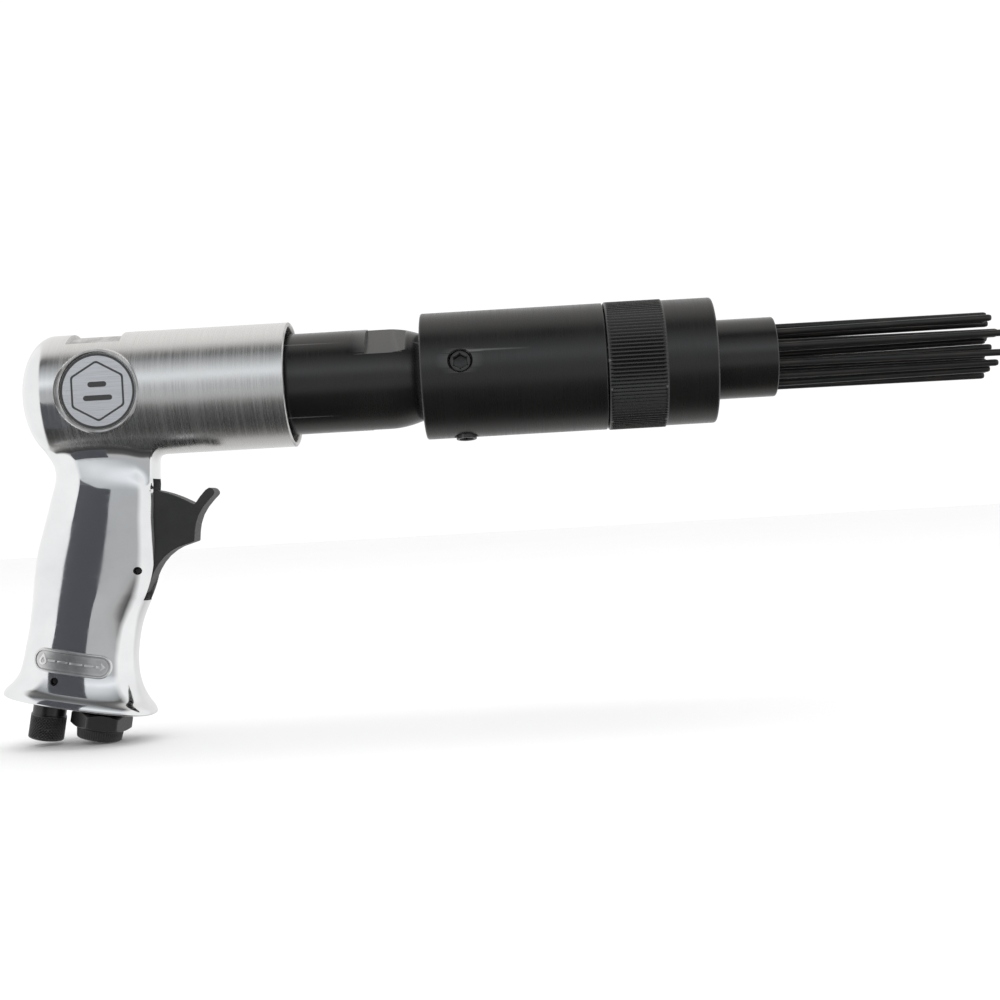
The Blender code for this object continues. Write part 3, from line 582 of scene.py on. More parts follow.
def housing_cutters():
    """Everything the casting is machined out with."""
    front, rim = BARREL_FRONT, BARREL_RADIUS
    bore = turned("bore", (
        (0.0055, 0.0), (0.0055, 0.0233), (0.0570, 0.0233), (0.0570, 0.0262), (front - 0.0011, 0.0262),
        (front - 0.0004, 0.0264), (front, 0.0269), (front, rim - 0.0008), (front - 0.0001, rim - 0.0005),
        (front - 0.0003, rim - 0.0002), (front - 0.0006, rim + 0.0001), (front - 0.0007, rim + 0.006),
        (front + 0.010, rim + 0.006), (front + 0.010, 0.0),
    ), ALONG_BARREL, "cut", 200, soft=0.0)
    slot = turned("slot", (
        (0.0228, 0.0268), (0.0222, 0.0285), (0.0222, 0.0340), (0.0466, 0.0340), (0.0466, 0.0285), (0.0460, 0.0268),
    ), ALONG_BARREL, "cut", 210, loop=True, soft=0.0004)
    keep = slot.modifiers.new("keep", "BOOLEAN")
    keep.operation, keep.solver = "INTERSECT", "EXACT"
    limit = rod("limit", (0.0, 0.0, 0.0225), (0.0, 0.0, 0.05), 0.06, BARREL)
    keep.object = limit
    bake(slot)
    bpy.data.objects.remove(limit)
    cutters = [bore, slot]
    for side in (-1, 1):
        place = BARREL @ Matrix.Translation((BADGE_X, 0.0, 0.0))
        place = place @ Matrix.Rotation(-side * math.pi / 2, 4, "X")
        cutters.append(turned("badge_seat", (
            (BADGE_FLOOR, 0.0), (BADGE_FLOOR, 0.0172), (BOSS_FACE - 0.0003, 0.0172),
            (BOSS_FACE, 0.0175), (BOSS_FACE, 0.0182), (BOSS_FACE - 0.0003, 0.0185),
            (BOSS_FACE - 0.0003, 0.0189), (0.036, 0.0193), (0.036, 0.0),
        ), place, "cut", 160, soft=0.0))
    half = 0.0069
    wedge = [(u, side * half, -s) for side in (-1, 1) for u, s in (
        (0.0248, 0.0335), (0.060, 0.0335), (0.060, 0.0890), (0.0248, 0.0890))]
    points = [GRIP @ Vector(p) for p in wedge]
    cutters.append(add_mesh("trigger_slot", points, [
        (3, 2, 1, 0), (4, 5, 6, 7), (0, 1, 5, 4), (1, 2, 6, 5), (2, 3, 7, 6), (3, 0, 4, 7)], ["cut"]))
    below = FLANGE_S + 0.002
    for name, (u0, s0), (u1, s1), radius in (
        ("inlet_bore", (INLET_U, 0.124), (INLET_U, below), 0.0085),
        ("regulator_bore", (REGULATOR_U, 0.103), (REGULATOR_U, below), 0.0058),
        ("cross_drilling", (REGULATOR_U, 0.1155), (INLET_U - 0.002, 0.1285), 0.0025),
        ("riser", (REGULATOR_U, 0.106), (0.0125, 0.056), 0.0030),
        ("throttle_bore", (-0.0065, 0.056), (0.0258, 0.056), 0.0048),
        ("bush_bore", (0.0157, 0.056), (0.0259, 0.056), 0.0057),
        ("barrel_feed", (REGULATOR_U, 0.0561), (REGULATOR_U, 0.019), 0.0030),
    ):
        cutters.append(rod(name, (u0, 0.0, -s0), (u1, 0.0, -s1), radius, GRIP))
    u, s = TRIGGER_PIN
    cutters.append(rod("pin_hole", (u, -0.03, -s), (u, 0.03, -s), 0.0018, GRIP))
    u, s = REGULATOR_PIN
    cutters.append(rod("stop_hole", (u, -0.03, -s), (u, 0.0063, -s), 0.0018, GRIP))
    return cutters


def make_housing():
    low_s = np.arange(-48.0, 135.0, PITCH)
    lip_s = np.arange(low_s[-1] + 0.45, FLANGE_S * MM + 1.4, 0.45)
    axes = (
        np.arange(-39.0, 102.5, PITCH),
        np.arange(-30.03, 30.1, PITCH),
        np.concatenate([low_s, lip_s]),
    )
    points, faces = surface_net(housing_distance, axes)
    x, y, z = split(points)
    world = np.stack([x / MM, y / MM, z / MM], 1) + np.array((AXIS_START, 0.0, AXIS_HEIGHT))
    outside_in = faces[:, ::-1]  # s runs down the handle, so the grid is left-handed
    housing = add_mesh("housing_casting", world, outside_in.tolist(), ["cast", "cut"])
    cutters = housing_cutters()
    for cutter in cutters:
        cutter.data.materials.clear()
        cutter.data.materials.append(LOOKS["cast"])
        cutter.data.materials.append(LOOKS["cut"])
        for face in cutter.data.polygons:
            face.material_index = 1
    cut(housing, *cutters)
    finish_housing(housing)
    return own(housing, "tool", "polished_aluminium", "housing")


def finish_housing(housing):
    """Exact normals on the cast skin, crisp ones on what was machined, and the brushed barrel."""
    mesh = housing.data
    mesh.shade_smooth()
    mesh.set_sharp_from_angle(angle=math.radians(38))
    loops = len(mesh.loops)
    normals = np.zeros(loops * 3)
    mesh.corner_normals.foreach_get("vector", normals)
    normals = normals.reshape(-1, 3)
    vertex_of = np.zeros(loops, int)
    mesh.loops.foreach_get("vertex_index", vertex_of)
    co = np.zeros(len(mesh.vertices) * 3)
    mesh.vertices.foreach_get("co", co)
    co = (co.reshape(-1, 3) - np.array((AXIS_START, 0.0, AXIS_HEIGHT))) * MM
    turn, lean = math.cos(GRIP_RAKE), math.sin(GRIP_RAKE)
    forward, height = co[:, 0] - GRIP_AT * MM, co[:, 2]
    grip_points = np.stack([forward * turn - height * lean, co[:, 1], -forward * lean - height * turn])
    slope = slope_of(housing_distance, grip_points)
    slope /= np.linalg.norm(slope, axis=0) + 1e-9
    exact = np.stack([slope[0] * turn - slope[2] * lean, slope[1], -slope[0] * lean - slope[2] * turn], 1)
    skin = np.zeros(len(mesh.polygons), int)
    mesh.polygons.foreach_get("material_index", skin)
    sizes = np.zeros(len(mesh.polygons), int)
    mesh.polygons.foreach_get("loop_total", sizes)
    on_skin = np.repeat(skin == 0, sizes)
    near = np.abs(housing_distance(grip_points)) < 0.05
    use = on_skin & near[vertex_of]
    normals[use] = exact[vertex_of[use]]
    mesh.normals_split_custom_set([tuple(n) for n in normals])
    barrel = barrel_distance(co[:, 0], co[:, 1], co[:, 2])
    brushed = np.clip(1.0 - (np.abs(barrel) - 0.1) / 0.9, 0, 1) * np.clip((co[:, 0] - 8) / 14, 0, 1)
    mesh.attributes.new("brushed", "FLOAT", "POINT").data.foreach_set("value", brushed)


# ---------------------------------------------------------------- badges and plaque

def strip(outer, inner, low, high):
    """A flat raised line between two closed outlines of equal length."""
    n = len(outer)
    points = [(x, y, z) for z in (low, high) for ring in (outer, inner) for x, y in ring]
    faces = []
    for i in range(n):
        j = (i + 1) % n
        faces += [
            (2 * n + i, 2 * n + j, 3 * n + j, 3 * n + i), (n + i, n + j, j, i),
            (i, j, 2 * n + j, 2 * n + i), (3 * n + i, 3 * n + j, n + j, n + i),
        ]
    return points, faces


def slab(outline, low, high):
    """A flat raised patch inside a closed outline that runs anticlockwise."""
    n = len(outline)
    points = [(x, y, z) for z in (low, high) for x, y in outline]
    faces = [tuple(range(n, 2 * n)), tuple(range(n - 1, -1, -1))]
    faces += [(i, (i + 1) % n, n + (i + 1) % n, n + i) for i in range(n)]
    return points, faces


def gather(name, parts, place, look):
    """Several small shells in one piece."""
    points, faces = [], []
    for some, sides in parts:
        faces += [tuple(len(points) + i for i in side) for side in sides]
        points += some
    return add_mesh(name, [place @ Vector(p) for p in points], faces, [look])


def ring_points(radius, count=96):
    step = 2 * math.pi / count
    return [(radius * math.cos(step * i), radius * math.sin(step * i)) for i in range(count)]


def bar_points(x, y, length, width, count=8):
    """A straight bar with round ends."""
    out = []
    for end, start in ((1, -math.pi / 2), (-1, math.pi / 2)):
        for i in range(count + 1):
            angle = start + math.pi * i / count
            out.append((
                x + end * (length - width) / 2 + width / 2 * math.cos(angle), y + width / 2 * math.sin(angle)
            ))
    return out


def hexagon_points(radius, count=8):
    """A hexagon standing on a corner, its corners a little rounded."""
    corners = [
        (radius * math.cos(math.pi / 6 + math.pi / 3 * i), radius * math.sin(math.pi / 6 + math.pi / 3 * i), 0.0012)
        for i in range(6)
    ]
    return softened(corners, True, count=count)


def make_badges():
    for side, label in ((-1, "right"), (1, "left")):
        place = BARREL @ Matrix.Translation((BADGE_X, 0.0, 0.0)) @ Matrix.Rotation(math.pi / 2, 4, "X")
        if side > 0:
            place = place @ Matrix.Rotation(math.pi, 4, "Y")
        plate = turned(f"badge_plate_{label}", (
            (BADGE_FLOOR + GAP, 0.0), (BADGE_FLOOR + GAP, BADGE_RADIUS), (BADGE_TOP, BADGE_RADIUS, 0.0003),
            (BADGE_TOP, 0.0),
        ), place, "plate", 128)
        own(shade(plate), "tool", "badge_face", f"badge_{label}")
        low, high = BADGE_TOP - 0.0001, BADGE_TOP + 0.00005
        parts = [
            strip(ring_points(0.0167), ring_points(0.0156), low, high),
            strip(hexagon_points(0.0136), hexagon_points(0.0126), low, high),
        ]
        for y, length in ((0.0030, 0.0084), (-0.0030, 0.0130)):
            parts.append(slab(bar_points(0.0, y, length, 0.0024), low, high))
        mark = gather(f"badge_mark_{label}", parts, place, "print")
        own(shade(mark, weighted=False), "tool", "badge_face")


OVAL_MIDDLE = (0.0113, 0.1207)   # u, s
OVAL_WIDTH = 0.0105
OVAL_LENGTH = 0.0357


def on_skin(a, b, rise):
    """A point over the grip's right side, a forward and b up from the oval's middle."""
    u, s = (OVAL_MIDDLE[0] + a) * MM, (OVAL_MIDDLE[1] - b) * MM
    rear, front = np.interp(s, *REAR_EDGE), np.interp(s, *FRONT_EDGE)
    half = np.interp(s, *HALF_WIDTH)
    share = abs((u - (rear + front) / 2) / ((front - rear) / 2)) ** SQUARENESS
    y = half * (1 - share) ** (1 / SQUARENESS)
    return GRIP @ Vector((u / MM, -y / MM - rise, -s / MM))


def stadium(inset, count=24):
    """The oval's outline drawn in by a distance, with points along its straights."""
    width = OVAL_WIDTH / 2 - inset
    straight = (OVAL_LENGTH - OVAL_WIDTH) / 2
    out = []
    for end, start in ((1, -math.pi / 2), (-1, math.pi / 2)):
        for i in range(count + 1):
            angle = start + math.pi * i / count
            out.append((end * straight + width * math.cos(angle), width * math.sin(angle)))
        for i in range(1, 20):
            out.append((end * straight * (1 - i / 10), end * width))
    return out


def make_plaque():
    rows = (
        (-0.0002, -0.0006), (0.0, 0.0002), (0.0002, 0.00048), (0.0005, 0.0006), (0.0008, 0.0006),
        (0.0010, 0.0005), (0.0011, 0.00022), (0.0014, 0.00022), (0.0015, 0.0004), (0.0022, 0.0004),
        (0.0040, 0.0004), (0.0051, 0.0004),
    )
    points, faces = [], []
    for inset, rise in rows:
        points += [on_skin(a, b, rise) for a, b in stadium(inset)]
    n = len(points) // len(rows)
    for k in range(len(rows) - 1):
        for i in range(n):
            j = (i + 1) % n
            faces.append((k * n + i, k * n + j, (k + 1) * n + j, (k + 1) * n + i))
    faces.append(tuple((len(rows) - 1) * n + i for i in range(n)))
    faces.append(tuple(range(n - 1, -1, -1)))
    drop = [(0.0018 * math.cos(t), 0.0018 * math.sin(t) * (1 if math.sin(t) < 0 else 1 + 0.9 * math.sin(t) ** 3))
            for t in np.arange(24) * 2 * math.pi / 24]
    drop = [(x * (1 - 0.35 * max(0, y / 0.0034)) - 0.0132, y - 0.0006) for x, y in drop]
    hole = [((x + 0.0132) * 0.5 - 0.0132, (y + 0.0006) * 0.5 - 0.0006) for x, y in drop]
    marks = [
        bar_points(-0.0092, 0.0, 0.0036, 0.0011), bar_points(-0.0040, 0.0, 0.0046, 0.0011),
        bar_points(0.0022, 0.0, 0.0058, 0.0011), bar_points(0.0080, 0.0, 0.0040, 0.0011),
        [(0.0112, -0.0006), (0.0132, -0.0006), (0.0132, -0.0018), (0.0152, 0.0), (0.0132, 0.0018),
         (0.0132, 0.0006), (0.0112, 0.0006)],
    ]
    for mark in marks:
        first = len(points)
        n = len(mark)
        for rise in (0.0003, 0.0006, 0.00068):
            middle = (sum(a for a, _ in mark) / n, sum(b for _, b in mark) / n)
            tight = 1.0 if rise < 0.00065 else 0.93
            points += [on_skin(middle[0] + (a - middle[0]) * tight, middle[1] + (b - middle[1]) * tight, rise)
                       for a, b in mark]
        for k in (0, 1):
            for i in range(n):
                j = (i + 1) % n
                faces.append((first + k * n + i, first + k * n + j, first + (k + 1) * n + j, first + (k + 1) * n + i))
        faces.append(tuple(first + 2 * n + i for i in range(n)))
        faces.append(tuple(first + i for i in range(n - 1, -1, -1)))
    first, n = len(points), len(drop)
    for rise in (0.0003, 0.00066):
        for ring in (drop, hole):
            points += [on_skin(a, b, rise) for a, b in ring]
    for i in range(n):
        j = (i + 1) % n
        faces += [
            (first + 2 * n + i, first + 2 * n + j, first + 3 * n + j, first + 3 * n + i),
            (first + n + i, first + n + j, first + j, first + i),
            (first + i, first + j, first + 2 * n + j, first + 2 * n + i),
            (first + 3 * n + i, first + 3 * n + j, first + n + j, first + n + i),
        ]
    plaque = add_mesh("oval_plaque", points, faces, ["plaque"])
    return own(shade(plaque, 30, weighted=False), "tool", "polished_aluminium")


# ---------------------------------------------------------------- barrel and needle attachment

def make_tube():
    neck_start, neck_end = 0.181, 0.232
    ogive = []
    for i in range(9):
        share = i / 8
        ogive.append((0.166 + (neck_start - GAP - 0.166) * share, TUBE_RADIUS - 0.0034 * share**1.6, 0.0))
    profile = [(TUBE_REAR, 0.0120), (TUBE_REAR, TUBE_RADIUS, 0.0008)]
    profile += [(x, TUBE_RADIUS, 0.0) for x in (0.060, 0.090, 0.121, 0.150)] + ogive
    profile += [
        (neck_start - GAP, 0.0190), (0.1935, 0.0190), (0.1945, 0.0175), (0.2035, 0.0175), (0.2045, 0.0190),
        (neck_end, 0.0190), (neck_end, 0.0090), (0.175, 0.0090), (0.172, 0.0120),
    ]
    tube = turned("hammer_cylinder", profile, ALONG_BARREL, "tube", 240, loop=True, soft=0.0003)
    cutters = []
    middle, half, across_flats = 0.1653, 0.009, 0.038
    for side in (0.0, math.pi):
        flat_place = BARREL @ Matrix.Translation((middle, 0.0, 0.0))
        flat_place = flat_place @ Matrix.Rotation(FLAT_TURN + side, 4, "X")
        low = across_flats / 2
        points = [(x * half, y, low + z) for x in (-1, 1) for y in (-0.03, 0.03) for z in (0.0, 0.012)]
        faces = [(0, 1, 3, 2), (4, 6, 7, 5), (0, 4, 5, 1), (2, 3, 7, 6), (0, 2, 6, 4), (1, 5, 7, 3)]
        cutters.append(add_mesh("flat", [flat_place @ Vector(p) for p in points], faces, ["tube"]))
    for turn in (math.pi / 4, 3 * math.pi / 4):
        reach = Vector((0.0, math.cos(turn), math.sin(turn))) * 0.03
        port = Vector((0.095, 0.0, 0.0))
        cutters.append(rod("port", port - reach, port + reach, 0.003, BARREL, "tube"))
    cut(tube, *cutters)
    return own(shade(tube), "tool", "blackened_steel", "cylinder")


def radial(angle, distance, x):
    turn = math.radians(angle)
    return Vector((x, -distance * math.cos(turn), distance * math.sin(turn)))


def make_sleeve():
    profile = (
        (0.181, 0.0193), (0.181, SLEEVE_RADIUS, 0.0010), (0.2632, SLEEVE_RADIUS, 0.0005), (0.2632, 0.0260),
        (0.2482, 0.0260), (0.2482, 0.0240), (0.226, 0.0240), (0.226, 0.0193),
    )
    profile = (profile[0], profile[1]) + tuple((x, SLEEVE_RADIUS, 0.0) for x in (0.188, 0.210, 0.235)) + profile[2:]
    sleeve = turned("attachment_collar", profile, ALONG_BARREL, "sleeve", 240, loop=True, soft=0.0003)
    cutters = []
    for angle in SCREW_ANGLES:
        base, end = radial(angle, 0.015, SCREW_X), radial(angle, 0.033, SCREW_X)
        out = (end - base).normalized()
        place = BARREL @ Matrix.Translation(base) @ out.to_track_quat("Z", "Y").to_matrix().to_4x4()
        rise = SLEEVE_RADIUS - 0.015
        cutters.append(turned("hole", (
            (0.0, 0.0), (0.0, SCREW_RADIUS + GAP), (rise - 0.0012, SCREW_RADIUS + GAP),
            (rise - 0.0002, SCREW_RADIUS + 0.0010), (rise + 0.004, SCREW_RADIUS + 0.0014), (rise + 0.004, 0.0),
        ), place, "sleeve", 64, soft=0.0))
    cut(sleeve, *cutters)
    return own(shade(sleeve), "tool", "blackened_steel", "attachment_sleeve")


def make_set_screws():
    for index, (angle, top) in enumerate(zip(SCREW_ANGLES, SCREW_TOPS)):
        base, end = radial(angle, 0.0179, SCREW_X), radial(angle, top, SCREW_X)
        out = (end - base).normalized()
        place = BARREL @ Matrix.Translation(base) @ out.to_track_quat("Z", "Y").to_matrix().to_4x4()
        height = (end - base).length

        def hexed(h, radius, angles):
            """Turns the socket's round wall into six flats."""
            if radius > 0.0034 or radius < 0.0001:
                return np.full(len(angles), radius)
            turn = (angles + math.pi / 6) % (math.pi / 3) - math.pi / 6
            return radius / np.cos(turn)

        screw = turned(f"socket_screw_{index + 1}", (
            (0.0, 0.0), (0.0, SCREW_RADIUS, 0.0006), (height, SCREW_RADIUS, 0.0009), (height, 0.0040, 0.0002),
            (height, 0.0033, 0.0), (height - 0.0005, 0.0028, 0.0), (height - 0.0040, 0.0028, 0.0),
            (height - 0.0046, 0.0, 0.0),
        ), place, "fitting", 96, shape=hexed)
        own(shade(screw), "tool", "blackened_steel", f"set_screw_{index + 1}")


KNURL_REAR = SLEEVE_FRONT + GAP
KNURL_FRONT = 0.290
KNURL_RADIUS = 0.0290
KNURL_RIDGES = 104


def make_front_cap():
    def ridged(height, radius, angles):
        """Straight knurling, fading out at both ends of its band."""
        end = min(height - KNURL_REAR - 0.0006, KNURL_FRONT - 0.0005 - height)
        share = min(max(end / 0.0010, 0.0), 1.0)
        if radius < 0.0285 or share == 0.0:
            return np.full(len(angles), radius)
        wave = 0.5 + 0.5 * np.cos(angles * KNURL_RIDGES)
        return radius - 0.00055 * share * (1 - wave) ** 1.6

    band = [(KNURL_REAR + 0.0006 + 0.0005 * i, KNURL_RADIUS, 0.0) for i in range(4)]
    band += [(x, KNURL_RADIUS, 0.0) for x in (0.270, 0.278, 0.285)]
    band += [(KNURL_FRONT - 0.0020 + 0.0005 * i, KNURL_RADIUS, 0.0) for i in range(4)]
    profile = [
        (0.2486, 0.0240), (0.2486, 0.0257, 0.0004), (KNURL_REAR, 0.0257), (KNURL_REAR, 0.0284, 0.0003),
        (KNURL_REAR + 0.0003, 0.0287, 0.0002),
    ] + band + [
        (KNURL_FRONT, 0.0284, 0.0004), (0.2908, 0.0284, 0.0), (0.302, 0.0284, 0.0), (0.3124, 0.0284, 0.0011),
        (0.3124, 0.0183, 0.0003), (0.3003, 0.0183), (0.3003, 0.0240),
    ]
    cap = turned("knurled_front_cap", profile, ALONG_BARREL, "sleeve", KNURL_RIDGES * 6, loop=True, shape=ridged)
    return own(shade(cap, 60), "front_cap", "blackened_steel", "front_cap")


def make_nose():
    profile = (
        (0.296, 0.0162), (0.296, 0.0230), (0.300, 0.0230), (0.300, 0.0180), (0.314, 0.0180, 0.0),
        (0.330, 0.0180, 0.0), (0.340, 0.0180, 0.0007), (0.340, 0.0162, 0.0005), (0.318, 0.0162, 0.0),
    )
    nose = turned("nose_guide_tube", profile, ALONG_BARREL, "tube", 200, loop=True)
    return own(shade(nose), "tool", "blackened_steel", "nose_tube")


def make_needles():
    length = 0.180
    profile = (
        (-length, 0.0), (-length, 0.0023, 0.0004), (-length + 0.003, 0.0023), (-length + 0.003, 0.0015),
        (-0.120, 0.0015, 0.0), (-0.060, 0.0015, 0.0), (-0.0012, 0.0015, 0.0004), (-0.0002, 0.0012, 0.0003),
        (0.0, 0.0008, 0.0002), (0.0, 0.0),
    )
    for index in range(1, 20):
        node = f"needle_{index:02d}"
        axis = Vector(JOINTS[f"{node}_slide"]["axis"]).normalized()
        corners = [v.co for v in frame["nodes"][node].data.vertices]
        reach = max(c.dot(axis) for c in corners)
        tips = [c for c in corners if c.dot(axis) > reach - 1e-5]
        tip = sum(tips, Vector()) / len(tips)
        place = Matrix.Translation(tip) @ axis.to_track_quat("Z", "Y").to_matrix().to_4x4()
        needle = turned(f"steel_needle_{index:02d}", profile, place, "needle", 24)
        own(shade(needle), node, "needle_steel", node)


# ---------------------------------------------------------------- grip fittings

def make_trigger():
    outline = (
        (0.0520, -0.0449), (0.0550, -0.0446), (0.0581, -0.0453), (0.0621, -0.0466), (0.0661, -0.0483),
        (0.0700, -0.0503), (0.0736, -0.0523), (0.0762, -0.0489), (0.0789, -0.0460), (0.0808, -0.0449),
        (0.0822, -0.0456), (0.0831, -0.0470), (0.0829, -0.0481), (0.0804, -0.0505), (0.0776, -0.0536),
        (0.0753, -0.0571), (0.0738, -0.0611), (0.0731, -0.0647), (0.0727, -0.0690), (0.0683, -0.0703),
        (0.0652, -0.0712), (0.0620, -0.0728), (0.0587, -0.0752), (0.0560, -0.0781), (0.0537, -0.0816),
        (0.0520, -0.0851), (0.0502, -0.0881), (0.0485, -0.0911), (0.0474, -0.0920), (0.0460, -0.0896),
        (0.0440, -0.0850), (0.0430, -0.0808), (0.0440, -0.0772), (0.0480, -0.0720), (0.0505, -0.0640),
        (0.0515, -0.0540),
    )
    rounded = softened([point + (0.0005,) for point in outline], True)
    half = TRIGGER_WIDTH / 2
    points = [BARREL @ Vector((x, y, z)) for y in (-half, half) for x, z in rounded]
    n = len(rounded)
    faces = [tuple(range(n)), tuple(range(2 * n - 1, n - 1, -1))]
    faces += [((i + 1) % n, i, n + i, n + (i + 1) % n) for i in range(n)]
    trigger = add_mesh("finger_trigger", points, faces, ["plastic"])
    edge = trigger.modifiers.new("edges", "BEVEL")
    edge.width, edge.segments = 0.0009, 3
    edge.limit_method, edge.angle_limit = "ANGLE", math.radians(60)
    u, s = TRIGGER_PIN
    cut(trigger, rod("hole", (u, -0.02, -s), (u, 0.02, -s), 0.0018, GRIP))
    outward(trigger)
    return own(shade(trigger, 50), "trigger", "black_plastic", "trigger")


def outward(piece):
    """Makes every face look out of a closed mesh."""
    import bmesh
    work = bmesh.new()
    work.from_mesh(piece.data)
    bmesh.ops.recalc_face_normals(work, faces=work.faces)
    work.to_mesh(piece.data)
    work.free()


def make_pins():
    for node, name, (u, s) in (
        ("trigger_pin", "trigger_hinge_pin", TRIGGER_PIN),
        ("regulator_pin", "regulator_stop_pin", REGULATOR_PIN),
    ):
        low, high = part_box(node)
        place = GRIP @ Matrix.Translation((u, low.y, -s)) @ Matrix.Rotation(-math.pi / 2, 4, "X")
        length = high.y - low.y
        pin = turned(name, (
            (0.0, 0.0), (0.0, 0.0015, 0.0004), (length, 0.0015, 0.0004), (length, 0.0),
        ), place, "fitting", 40)
        own(shade(pin), "tool", "blackened_steel", node)


def make_regulator():
    top = FLANGE_S + GAP

    def knurled(height, radius, angles):
        end = min(height - 0.1481, 0.1583 - height)
        share = min(max(end / 0.0004, 0.0), 1.0)
        if radius < 0.0076 or share == 0.0:
            return np.full(len(angles), radius)
        around, along = angles * 34, (height - 0.1481) * 34 / 0.008
        groove = np.maximum(np.cos(around + along), np.cos(around - along))
        return radius - 0.00042 * share * np.clip((groove - 0.1) / 0.9, 0, 1) ** 1.3

    rows = [(0.1481 + 0.0002 * i, 0.0080, 0.0) for i in range(52)]
    profile = [
        (0.1055, 0.0), (0.1055, 0.0015), (0.1150, 0.0054), (0.1215, 0.0054), (0.1215, 0.0042),
        (0.1242, 0.0042), (0.1242, 0.0054), (0.1277, 0.0054), (0.1277, 0.0034), (0.1317, 0.0034),
        (0.1317, 0.0054), (top, 0.0054), (top, 0.0075, 0.0005), (0.1473, 0.0075, 0.0001), (0.1476, 0.0079, 0.0001),
    ] + rows + [(0.1587, 0.0078, 0.0002), (0.1590, 0.0072, 0.0003), (0.1590, 0.0)]
    knob = turned("air_regulator_knob", profile, on_grip(REGULATOR_U, 0.0), "fitting", 306, shape=knurled)
    return own(shade(knob, 60, weighted=False), "regulator", "blackened_steel", "regulator_knob")


def make_inlet():
    hex_start, hex_end, half = FLANGE_S + 0.0026, FLANGE_S + 0.0095, 0.012

    def hexed(height, radius, angles):
        """Six flats with the corners turned off at both ends."""
        if radius < 0.0119:
            return np.full(len(angles), radius)
        flat = half / np.cos((angles + math.pi / 6 + HEX_TURN) % (math.pi / 3) - math.pi / 6)
        end = min(height - hex_start, hex_end - height)
        return np.minimum(flat, 0.01185 + 1.73 * max(end, 0.0))

    rows = [(hex_start + d, half, 0.0) for d in (0.0, 0.0002, 0.0004, 0.0007, 0.0010, 0.0013)]
    rows += [(hex_end - d, half, 0.0) for d in (0.0013, 0.0010, 0.0007, 0.0004, 0.0002, 0.0)]
    profile = [(0.1265, 0.0062), (0.1265, 0.0082), (hex_start, 0.0082)] + rows + [
        (hex_end, 0.0109, 0.0001), (hex_end - 0.0006, 0.0109), (hex_end - 0.0006, 0.0062),
    ]
    bushing = turned("inlet_hex_bushing", profile, on_grip(INLET_U, 0.0), "fitting", 240, loop=True, shape=hexed)
    own(shade(bushing, 25), "tool", "blackened_steel", "inlet_bushing")
    low, high = FLANGE_S + GAP, hex_start - GAP
    wall = [(low + (high - low) * i / 6, 0.0106 - (0.0005 if i % 2 else 0.0), 0.0001) for i in range(7)]
    section = [(low, 0.0085)] + wall + [(high, 0.0085)]
    ring = turned("inlet_seal", section, on_grip(INLET_U, 0.0), "rubber", 120, loop=True)
    own(shade(ring, 50), "tool", "black_rubber", "inlet_seal_ring")
    head = hex_end + GAP

    def ribbed(height, radius, angles):
        end = min(height - head - 0.0004, 0.1549 - height)
        share = min(max(end / 0.0004, 0.0), 1.0)
        if radius < 0.0097 or share == 0.0:
            return np.full(len(angles), radius)
        return radius - 0.00028 * share * (0.5 - 0.5 * np.cos(angles * 64))

    plug = turned("dust_plug", [
        (0.1410, 0.0), (0.1410, 0.0052), (0.1420, 0.0058), (head, 0.0058), (head, 0.0104, 0.0002),
        (head + 0.0005, 0.0105, 0.0), (head + 0.0009, 0.0105, 0.0), (0.1525, 0.0103, 0.0), (0.1543, 0.0101, 0.0),
        (0.1548, 0.0100, 0.0), (0.1552, 0.0096, 0.0003), (0.1552, 0.0),
    ], on_grip(INLET_U, 0.0), "plastic", 384, shape=ribbed)
    own(shade(plug, 60), "dust_plug", "black_plastic", "inlet_dust_plug")


def dress_inner_parts():
    """The CAD parts that stay: their shapes are right, and they get node materials."""
    kinds = {
        "steel": ("valve_cap", "valve_chest", "valve_disc", "piston", "anvil", "needle_holder", "return_spring",
                  "throttle_stem", "throttle_spring"),
        "brass": ("throttle_bush", "throttle_seat", "inlet_strainer"),
        "rubber": ("throttle_seal", "regulator_o_ring"),
    }
    for look, names in kinds.items():
        for name in names:
            node = frame["nodes"][name]
            for place in node.material_slots:
                place.material = LOOKS[look]


# ---------------------------------------------------------------- studio

def staged_panel(name, corners, material):
    mesh = bpy.data.meshes.new(name)
    mesh.from_pydata(corners, [], [(0, 1, 2, 3)])
    mesh.materials.append(material)
    panel = bpy.data.objects.new(name, mesh)
    bpy.context.scene.collection.objects.link(panel)
    return panel


STUDIO_BANDS = (                 # degrees about X from the front upwards, level, blueness
    (-180, 0.90, 0.0), (-115, 0.50, -0.02), (-101, 0.18, -0.03), (-90, 0.08, -0.03), (-70, 0.05, 0.0),
    (-36, 0.10, 0.0), (-28, 0.20, -0.02), (-20, 0.45, 0.0), (-13, 0.50, 0.01), (2, 0.48, 0.02), (9, 0.50, 0.03),
    (16, 0.75, 0.03), (24, 1.00, 0.03), (31, 0.80, 0.03), (39, 0.63, 0.03), (47, 0.45, 0.03), (55, 0.32, 0.03),
    (63, 0.12, 0.0), (72, 0.18, -0.01), (80, 0.50, -0.02), (90, 0.75, -0.02), (110, 0.85, -0.02), (180, 0.90, 0.0),
)
CARD_Y = -0.105                  # a dark card stands close before the grip, for reflections only
CARD_CORNERS = ((-0.062, 0.175), (0.004, 0.175), (0.004, 0.030), (-0.062, 0.030))
CARD_DARK = (0.085, 0.088, 0.100, 1.0)
CARD_PALE = (0.110, 0.114, 0.128, 1.0)


